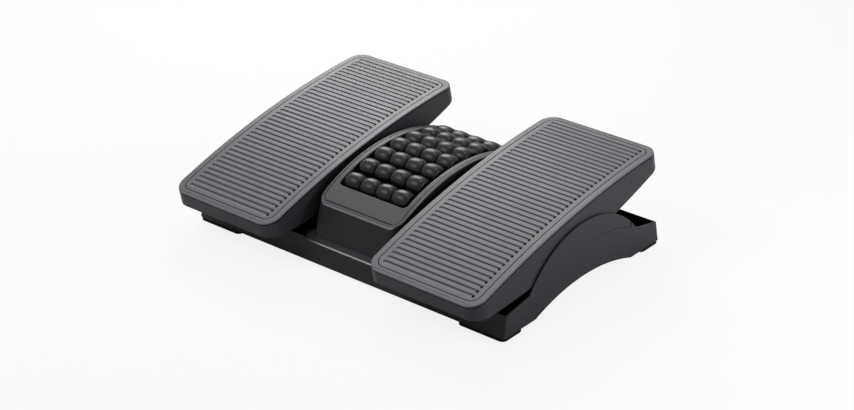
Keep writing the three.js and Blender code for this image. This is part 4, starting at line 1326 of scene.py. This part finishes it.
# %% Shapes along the arch
def arch_point(radius, turn):
    return HOUSING_MIDDLE + radius * math.sin(turn), ARCH_CENTRE + radius * math.cos(turn)


def under_arch(depth, half=2 * HOUSING_HALF_WIDTH):
    """Everything below the arch, at a depth under its top."""
    last = math.asin((HOUSING_FOOT_HALF + OVERRUN) / (HOUSING_RADIUS - RAIL_DEPTH - OVERRUN))
    turns = [last * (1 - 2 * i / ARC_STEPS) for i in range(ARC_STEPS + 1)]
    top = [arch_point(HOUSING_RADIUS - depth, turn) for turn in turns]
    low = min(HOUSING_LOW, top[0][1]) - OVERRUN - depth
    return drawn("under_arch", [(top[-1][0], low), (top[0][0], low), *top], -half, half)


def housing_blank(name, inset, low):
    """The housing's leaning outside, drawn in by an inset."""
    half_depth = HOUSING_FOOT_HALF - HOUSING_LEAN * (low - HOUSING_FOOT) - inset
    return leaning_block(name, HOUSING_HALF_WIDTH - inset, half_depth, HOUSING_LEAN, HOUSING_MIDDLE,
                         low, SKY, HOUSING_CORNER - inset)


def swung(piece, angle):
    """A piece made over the arch's centre, brought to its angle along the arch."""
    return settle(piece, (0, HOUSING_MIDDLE, ARCH_CENTRE), -angle)


def arch_radius_at(point):
    return math.hypot(point.y - HOUSING_MIDDLE, point.z - ARCH_CENTRE)


def on_arch(point):
    return abs(arch_radius_at(point) - HOUSING_RADIUS) < SEAT_GAP


def within_housing(point, inset):
    """Whether a point lies well inside the housing's plan drawn in by an inset."""
    half = HOUSING_FOOT_HALF - HOUSING_LEAN * (point.z - HOUSING_FOOT) - inset
    return abs(point.x) < HOUSING_HALF_WIDTH - inset and abs(point.y - HOUSING_MIDDLE) < half


print("the arch starts at", [round(x, 4) for x in arch_point(HOUSING_RADIUS, min(ROLLER_ANGLES))])

# %% [markdown]
# ## The housing: put together
# The leaning box is cut off at the arch. Then the seat of the cover, the bay of the rollers and the
# space under the deck are taken out, and the bosses for the screws stay standing. The notches come
# last. The rim's outer edge is bevelled flatter than round, and its glossier finish, painted paler as a
# painted glint, shines there.

# %% The housing
RIM_ROUND_OUT = 0.0014
RIM_ROUND_IN = 0.0005
RIM_PROFILE = 0.32


def notch(side, angle):
    outline = slot_outline(NOTCH_RADIUS, 0, ROLLER_TURN_RADIUS, HOUSING_RADIUS)
    return swung(drawn("notch", outline, *span(side, BAY_HALF - OVERRUN, NOTCH_END)), angle)


# The rim's top is painted paler as top light, its outer round painted paler as a glint, and its inner
# round near-black as painted shade in the gap by the cover.
def housing_zone(face):
    drop = HOUSING_RADIUS - arch_radius_at(face.center)
    if drop > RIM_ROUND_OUT:
        return SKIRT_ZONE
    if drop <= HAIR:
        return RIM_ZONE
    if not within_housing(face.center, RIM_WIDTH / 2):
        return EDGE_ZONE
    return GAP_ZONE if within_housing(face.center, RIM_WIDTH - RIM_ROUND_IN) else RIM_ZONE


def housing():
    body = keep(housing_blank("arched_housing", 0, HOUSING_FOOT), under_arch(0))
    seat = cut(housing_blank("seat", RIM_WIDTH, HOUSING_LOW), under_arch(DECK_TOP))
    reach = OPENING_HALF_LENGTH + BAY_MARGIN
    bay = block("bay", (-BAY_HALF, HOUSING_MIDDLE - reach, HOUSING_LOW),
                (BAY_HALF, HOUSING_MIDDLE + reach, SKY))
    under_deck = under_arch(DECK_TOP + DECK_THICKNESS, BAY_HALF - WELD)
    ceiling = fuse(under_arch(RAIL_DEPTH + COVER_THICKNESS), under_deck)
    space = keep(housing_blank("space", HOUSING_WALL, HOUSING_LOW), ceiling)
    cut(space, *[post("boss", SCREW_BOSS_RADIUS, x, y, HOUSING_LOW - OVERRUN, SKY)
                 for x, y in SCREW_PLACES])
    cut(body, seat, bay, space)
    cut(body, *holes(SCREW_PLACES, SCREW_SHANK_RADIUS, HOUSING_LOW, SCREW_TIP + SEAT_GAP))
    cut(body, *[notch(side, angle) for angle in ROLLER_ANGLES for side in SIDES.values()])

    def outer(point):
        return not within_housing(point, RIM_WIDTH / 2)

    round_edges(body, RIM_ROUND_OUT, MEDIUM_STEPS, lambda p: on_arch(p) and outer(p), RIM_PROFILE)
    round_edges(body, RIM_ROUND_IN, FINE_STEPS, lambda p: on_arch(p) and not outer(p))
    zoned(smooth(body), housing_zone)
    settle(body, TRAY_MIDDLE)
    dress(body, "base", "housing", "roller_housing", HOUSING_BLACK, COVER_GRAIN_AND_TOP_LIGHT, PAINTED_GAP_SHADE, EDGE_GLOSS_AND_PAINTED_GLINT)


housing()

# %% [markdown]
# ## The cover
# The cover is an arched sheet with one large opening. Teeth under its long sides reach down into
# the notches and hold the axles in. The edge of the opening is rounded generously, because fingers
# and feet pass over it.

# %% The cover
COVER_OPENING_ROUND = 0.0012
COVER_EDGE_ROUND = 0.0005


def tooth(side, angle):
    x0, x1 = span(side, BAY_HALF + SEAT_GAP, ROLLER_AXLE_END - SEAT_GAP)
    half = NOTCH_RADIUS - SEAT_GAP
    near = ROLLER_TURN_RADIUS + ROLLER_AXLE_RADIUS + SEAT_GAP
    far = HOUSING_RADIUS - COVER_THICKNESS + WELD
    return swung(block("tooth", (x0, -half, near), (x1, half, far)), angle)


def cover_zone(face):
    """1 in the gap round the cover, painted near-black as shade, 0 elsewhere."""
    edge = not within_housing(face.center, RIM_WIDTH + SEAT_GAP + COVER_EDGE_ROUND)
    return int(edge and HOUSING_RADIUS - arch_radius_at(face.center) > HAIR)


def cover():
    sheet = cut(under_arch(0), under_arch(COVER_THICKNESS, 3 * HOUSING_HALF_WIDTH))
    plate = keep(housing_blank("arched_cover", RIM_WIDTH + SEAT_GAP, HOUSING_LOW), sheet)
    opening = rounded_block(
        "opening", (-OPENING_HALF_WIDTH, HOUSING_MIDDLE - OPENING_HALF_LENGTH, HOUSING_LOW),
        (OPENING_HALF_WIDTH, HOUSING_MIDDLE + OPENING_HALF_LENGTH, SKY), OPENING_CORNER, OPENING_STEPS)
    cut(plate, opening)
    half_frame = (HOUSING_HALF_WIDTH - RIM_WIDTH - OPENING_HALF_WIDTH) / 2 + RIM_WIDTH

    def outer(point):
        return not within_housing(point, half_frame)

    round_edges(plate, COVER_OPENING_ROUND, WIDE_STEPS, lambda p: on_arch(p) and not outer(p))
    round_edges(plate, COVER_EDGE_ROUND, FINE_STEPS, lambda p: on_arch(p) and outer(p))
    fuse(plate, *[tooth(side, angle) for angle in ROLLER_ANGLES for side in SIDES.values()])
    zoned(smooth(plate), cover_zone)
    settle(plate, TRAY_MIDDLE)
    dress(plate, "base", "cover", "roller_cover", COVER_GRAIN_AND_TOP_LIGHT, PAINTED_GAP_SHADE)


cover()

# %% [markdown]
# ## The massage rollers
# Each roller is one turned shape of four barrel lobes. A cosine to a power under one gives a barrel
# that is squarer than a ball. One is spun about its axle, and six copies join it.

# %% The seven rollers and their axles
WAIST_RADIUS = 0.008
HUB_RADIUS = 0.005
HUB_CHAMFER = 0.0004
LOBE_SQUARENESS = 0.66
LOBE_STEPS = 22
ROLLER_STEPS = 44
AXLE_CHAMFER = 0.0004


def lobed_profile():
    """The roller's half outline, from the bore at one end to the bore at the other."""
    lobes_half = LOBE_COUNT * LOBE_PITCH / 2
    bore = ROLLER_AXLE_RADIUS + RUNNING_GAP
    lobes = []
    for i in range(LOBE_COUNT):
        centre = (i - (LOBE_COUNT - 1) / 2) * LOBE_PITCH
        for j in range(1 if i else 0, LOBE_STEPS + 1):
            turn = math.pi * (j / LOBE_STEPS - 1 / 2)
            swell = (LOBE_RADIUS - WAIST_RADIUS) * max(math.cos(turn), 0) ** LOBE_SQUARENESS
            lobes.append((centre + LOBE_PITCH / 2 * math.sin(turn), WAIST_RADIUS + swell))
    half = [(HUB_END, bore), (HUB_END, HUB_RADIUS - HUB_CHAMFER), (HUB_END - HUB_CHAMFER, HUB_RADIUS),
            (lobes_half, HUB_RADIUS)]
    ring = [(-x, radius) for x, radius in half] + lobes + half[::-1]
    return [*ring, ring[0]]


def chamfered_rod(name, radius, x0, x1):
    narrow = radius - AXLE_CHAMFER
    return smooth(spun(name, [(x0, 0), (x0, narrow), (x0 + AXLE_CHAMFER, radius),
                              (x1 - AXLE_CHAMFER, radius), (x1, narrow), (x1, 0)]))


level_roller = smooth(spun("level_roller", lobed_profile(), steps=ROLLER_STEPS))
for name in ROLLERS:
    number = name.split("_")[-1]
    roller = settle(copied(level_roller, f"lobed_roller_{number}"), PIVOTS[name])
    dress(roller, name, "roller", name, ROLLER_SATIN)
    pin = chamfered_rod(f"roller_pin_{number}", ROLLER_AXLE_RADIUS, -ROLLER_AXLE_END, ROLLER_AXLE_END)
    dress(settle(pin, PIVOTS[name]), "base", "steel", f"roller_axle_{number}", STEEL)
bpy.data.objects.remove(level_roller)

# %% [markdown]
# ## Pedal axles, bushes and bumpers
# A bush is a turned sleeve with two flanges and an open mouth, so that it snaps over the axle from
# below. A bumper is a rubber button with a domed crown and a stud that plugs into its post.

# %% Pedal axles, bushes and bumpers
BUSH_MOUTH = 0.006
FLANGE_HEIGHT = 0.002
FLANGE_THICKNESS = 0.0015
FLANGE_CHAMFER = 0.0003
BUMPER_STEPS = 12
FLANGE_IN = PILLAR_THICKNESS / 2 + SEAT_GAP
FLANGE_OUT = FLANGE_IN + FLANGE_THICKNESS


def bush(name):
    flange = BUSH_RADIUS + FLANGE_HEIGHT
    half = [(FLANGE_IN, BUSH_RADIUS), (FLANGE_IN, flange - FLANGE_CHAMFER),
            (FLANGE_IN + FLANGE_CHAMFER, flange), (FLANGE_OUT - FLANGE_CHAMFER, flange),
            (FLANGE_OUT, flange - FLANGE_CHAMFER), (FLANGE_OUT, 0)]
    sleeve = spun(name, [(-x, radius) for x, radius in half[::-1]] + half)
    reach = PILLAR_THICKNESS
    mouth = block("mouth", (-reach, -BUSH_MOUTH / 2, 0), (reach, BUSH_MOUTH / 2, flange + OVERRUN))
    return smooth(cut(sleeve, rod("bore", BORE_RADIUS, -reach, reach), mouth))


def bumper(name):
    crown_line = [(arc_height(BUMPER_HEIGHT, BUMPER_CROWN_RADIUS, radius), radius)
                  for radius in [BUMPER_RADIUS * (1 - i / BUMPER_STEPS) for i in range(BUMPER_STEPS + 1)]]
    stud = [(-BUMPER_STUD_LENGTH, 0), (-BUMPER_STUD_LENGTH, BUMPER_STUD_RADIUS), (0, BUMPER_STUD_RADIUS),
            (0, BUMPER_RADIUS)]
    return smooth(spun(name, stud + crown_line, UPRIGHT))


for hand, side in SIDES.items():
    pivot = PIVOTS[f"{hand}_pedal"]
    x0, x1 = span(side, PEDAL_WALL + SEAT_GAP - PEDAL_HALF, PEDAL_HALF - SEAT_GAP)
    axle = settle(chamfered_rod(f"{hand}_pedal_rod", AXLE_RADIUS, x0, x1), pivot, REST_TILT)
    dress(axle, f"{hand}_pedal", "steel", f"{hand}_pedal_axle", STEEL)
    for where, offset in (("outer", side * PILLAR_OFFSET), ("inner", -side * PILLAR_OFFSET)):
        sleeve = settle(bush(f"{hand}_{where}_sleeve"), pivot + Vector((offset, 0, 0)))
        dress(sleeve, "base", "nylon", f"{hand}_{where}_bush", NYLON)
    for where, tilt in (("front", REST_TILT), ("rear", TIPPED_TILT)):
        y, seat = bumper_place(tilt)
        button = settle(bumper(f"{hand}_{where}_button"), Vector((pivot.x, y + TRAY_MIDDLE.y, seat)))
        dress(button, "base", "rubber", f"{hand}_{where}_bumper", RUBBER)

# %% [markdown]
# ## Feet and screws
# The feet are soft pads with rounded edges. The screws are driven up from below, so their heads
# show only underneath, each with a cross recess for the driver.

# %% Feet and screws
FOOT_ROUND = 0.0006
FOOT_CORNER_STEPS = 10
RECESS_WIDTH = 0.0009
RECESS_LENGTH = 0.0045
RECESS_DEPTH = 0.0014
HEAD_CHAMFER = 0.0004


def foot(name, x, y):
    low = (x - FOOT_WIDTH / 2, y - FOOT_DEPTH / 2, 0)
    high = (x + FOOT_WIDTH / 2, y + FOOT_DEPTH / 2, FOOT_HEIGHT)
    pad = rounded_block(name, low, high, FOOT_CORNER, FOOT_CORNER_STEPS)
    round_edges(pad, FOOT_ROUND, FINE_STEPS, lambda p: True)
    fuse(pad, post("stud", FOOT_STUD_RADIUS, x, y, FOOT_HEIGHT - WELD, STUD_TOP))
    return smooth(pad)


def screw(name):
    head = HEAD_TOP - SCREW_HEAD_HEIGHT
    outline = [(head, 0), (head, SCREW_HEAD_RADIUS - HEAD_CHAMFER),
               (head + HEAD_CHAMFER, SCREW_HEAD_RADIUS), (HEAD_TOP, SCREW_HEAD_RADIUS),
               (HEAD_TOP, SCREW_SHANK_RADIUS), (SCREW_TIP - SCREW_SHANK_RADIUS, SCREW_SHANK_RADIUS),
               (SCREW_TIP, 0)]
    made = spun(name, outline, UPRIGHT)
    long, thin = RECESS_LENGTH / 2, RECESS_WIDTH / 2
    for x, y in ((long, thin), (thin, long)):
        cut(made, block("recess", (-x, -y, head - OVERRUN), (x, y, head + RECESS_DEPTH)))
    return smooth(made)


for node, (x, y) in FOOT_PLACES.items():
    dress(settle(foot(f"{node}_pad", x, y), TRAY_MIDDLE), "base", "rubber", node, RUBBER)
for i, (x, y) in enumerate(SCREW_PLACES, 1):
    made = settle(screw(f"cross_screw_{i}"), TRAY_MIDDLE + Vector((x, y, 0)))
    dress(made, "base", "steel", f"housing_screw_{i}", STEEL)

# %% [markdown]
# ## The camera
# The photograph's own view was found by fitting the footrest's corners. It is a long lens about
# three metres away, turned 42 degrees to the right and looking down by 28, with a slight roll.

# %% Camera
CAMERA_AZIMUTH = math.radians(41.67)
CAMERA_ELEVATION = math.radians(27.634)
CAMERA_ROLL = math.radians(-2.03)
CAMERA_DISTANCE = 3.04967
FOCAL_PIXELS = 2195.56
PICTURE_WIDTH = 854
PICTURE_HEIGHT = 410
TARGET_PIXEL = (425.757, 230.456)
SENSOR = 36
FAR_CLIP = 100


def camera():
    back = Vector((math.sin(CAMERA_AZIMUTH) * math.cos(CAMERA_ELEVATION),
                   -math.cos(CAMERA_AZIMUTH) * math.cos(CAMERA_ELEVATION), math.sin(CAMERA_ELEVATION)))
    level = Vector((math.cos(CAMERA_AZIMUTH), math.sin(CAMERA_AZIMUTH), 0))
    upright = back.cross(level)
    right = math.cos(CAMERA_ROLL) * level + math.sin(CAMERA_ROLL) * upright
    up = math.cos(CAMERA_ROLL) * upright - math.sin(CAMERA_ROLL) * level
    metres = CAMERA_DISTANCE / FOCAL_PIXELS
    across = (TARGET_PIXEL[0] - PICTURE_WIDTH / 2) * metres
    above = (PICTURE_HEIGHT / 2 - TARGET_PIXEL[1]) * metres
    data = bpy.data.cameras.new("photograph_view")
    data.sensor_width = SENSOR
    data.lens = FOCAL_PIXELS / PICTURE_WIDTH * SENSOR
    data.clip_end = FAR_CLIP
    eye = bpy.data.objects.new("photograph_view", data)
    bpy.context.scene.collection.objects.link(eye)
    turn = Matrix((right, up, back)).transposed().to_4x4()
    place = TRAY_MIDDLE + back * CAMERA_DISTANCE - right * across - up * above
    eye.matrix_world = Matrix.Translation(place) @ turn
    bpy.context.scene.camera = eye
    print("camera at", [round(x, 3) for x in eye.location], "lens", round(data.lens, 2))


camera()

# %% [markdown]
# ## Light and floor
# Four soft boxes light the footrest. The one behind it on the left gives the mats their paler far
# ends, the one in front gives each roller lobe its low spot, and the ones above and to the right
# fill in. The floor and the room look white to the camera and in reflections, and the floor keeps a
# soft shadow.

# %% Lights, room and floor
WHITE = (1, 1, 1, 1)
ROOM_LEVEL = 0.22
FLOOR_SIZE = 40
FLOOR_GREY = (0.8, 0.8, 0.8, 1)
FLOOR_ROUGHNESS = 0.9
FLOOR_GLOW = 0.86


def soft_box(name, place, size, watts):
    """A square lamp that faces the footrest."""
    data = bpy.data.lights.new(name, "AREA")
    data.shape = "SQUARE"
    data.size = size
    data.energy = watts
    lamp = bpy.data.objects.new(name, data)
    bpy.context.scene.collection.objects.link(lamp)
    lamp.location = place
    lamp.rotation_euler = (-Vector(place)).to_track_quat("-Z", "Y").to_euler()
    lamp.visible_camera = False


def room():
    """White to the camera and in reflections, and a dim light on all else."""
    world = bpy.data.worlds.new("pale_room")
    bpy.context.scene.world = world
    graph = Graph(world)
    seen = graph.seen_by("Camera").either(graph.seen_by("Glossy")).either(graph.seen_by("Transmission"))
    background = graph.tree.nodes["Background"]
    graph.feed(background.inputs["Color"], WHITE)
    graph.feed(background.inputs["Strength"], seen * (1 - ROOM_LEVEL) + ROOM_LEVEL)


def floor():
    """A matt floor that also glows for the camera, so that only the shadow is seen on it."""
    take(None)
    bpy.ops.mesh.primitive_plane_add(size=FLOOR_SIZE)
    ground = bpy.context.object
    ground.name = "studio_floor"
    finish = Finish("studio_white")
    finish.set(Base_Color=FLOOR_GREY, Roughness=FLOOR_ROUGHNESS, Specular_IOR_Level=0.0)
    matt = Shade(finish, finish.surface.outputs[0])
    glow = finish.node("ShaderNodeEmission", {}, {"Color": WHITE})
    share = finish.seen_by("Camera") * FLOOR_GLOW
    mixed = finish.node("ShaderNodeMixShader", {}, {0: share, 1: matt, 2: glow})
    finish.feed(finish.tree.nodes["Material Output"].inputs["Surface"], mixed)
    ground.data.materials.append(finish.material)


soft_box("overhead", place=(-0.2, 0.4, 2.3), size=0.7, watts=10)
soft_box("rear_left", place=(-1.0, 0.9, 1.05), size=0.6, watts=14)
soft_box("front_left", place=(-1.05, -1.3, 1.86), size=0.9, watts=20)
soft_box("right_side", place=(1.05, 0.3, 0.5), size=0.5, watts=4.8)
room()
floor()
bpy.context.scene.view_settings.view_transform = "Standard"
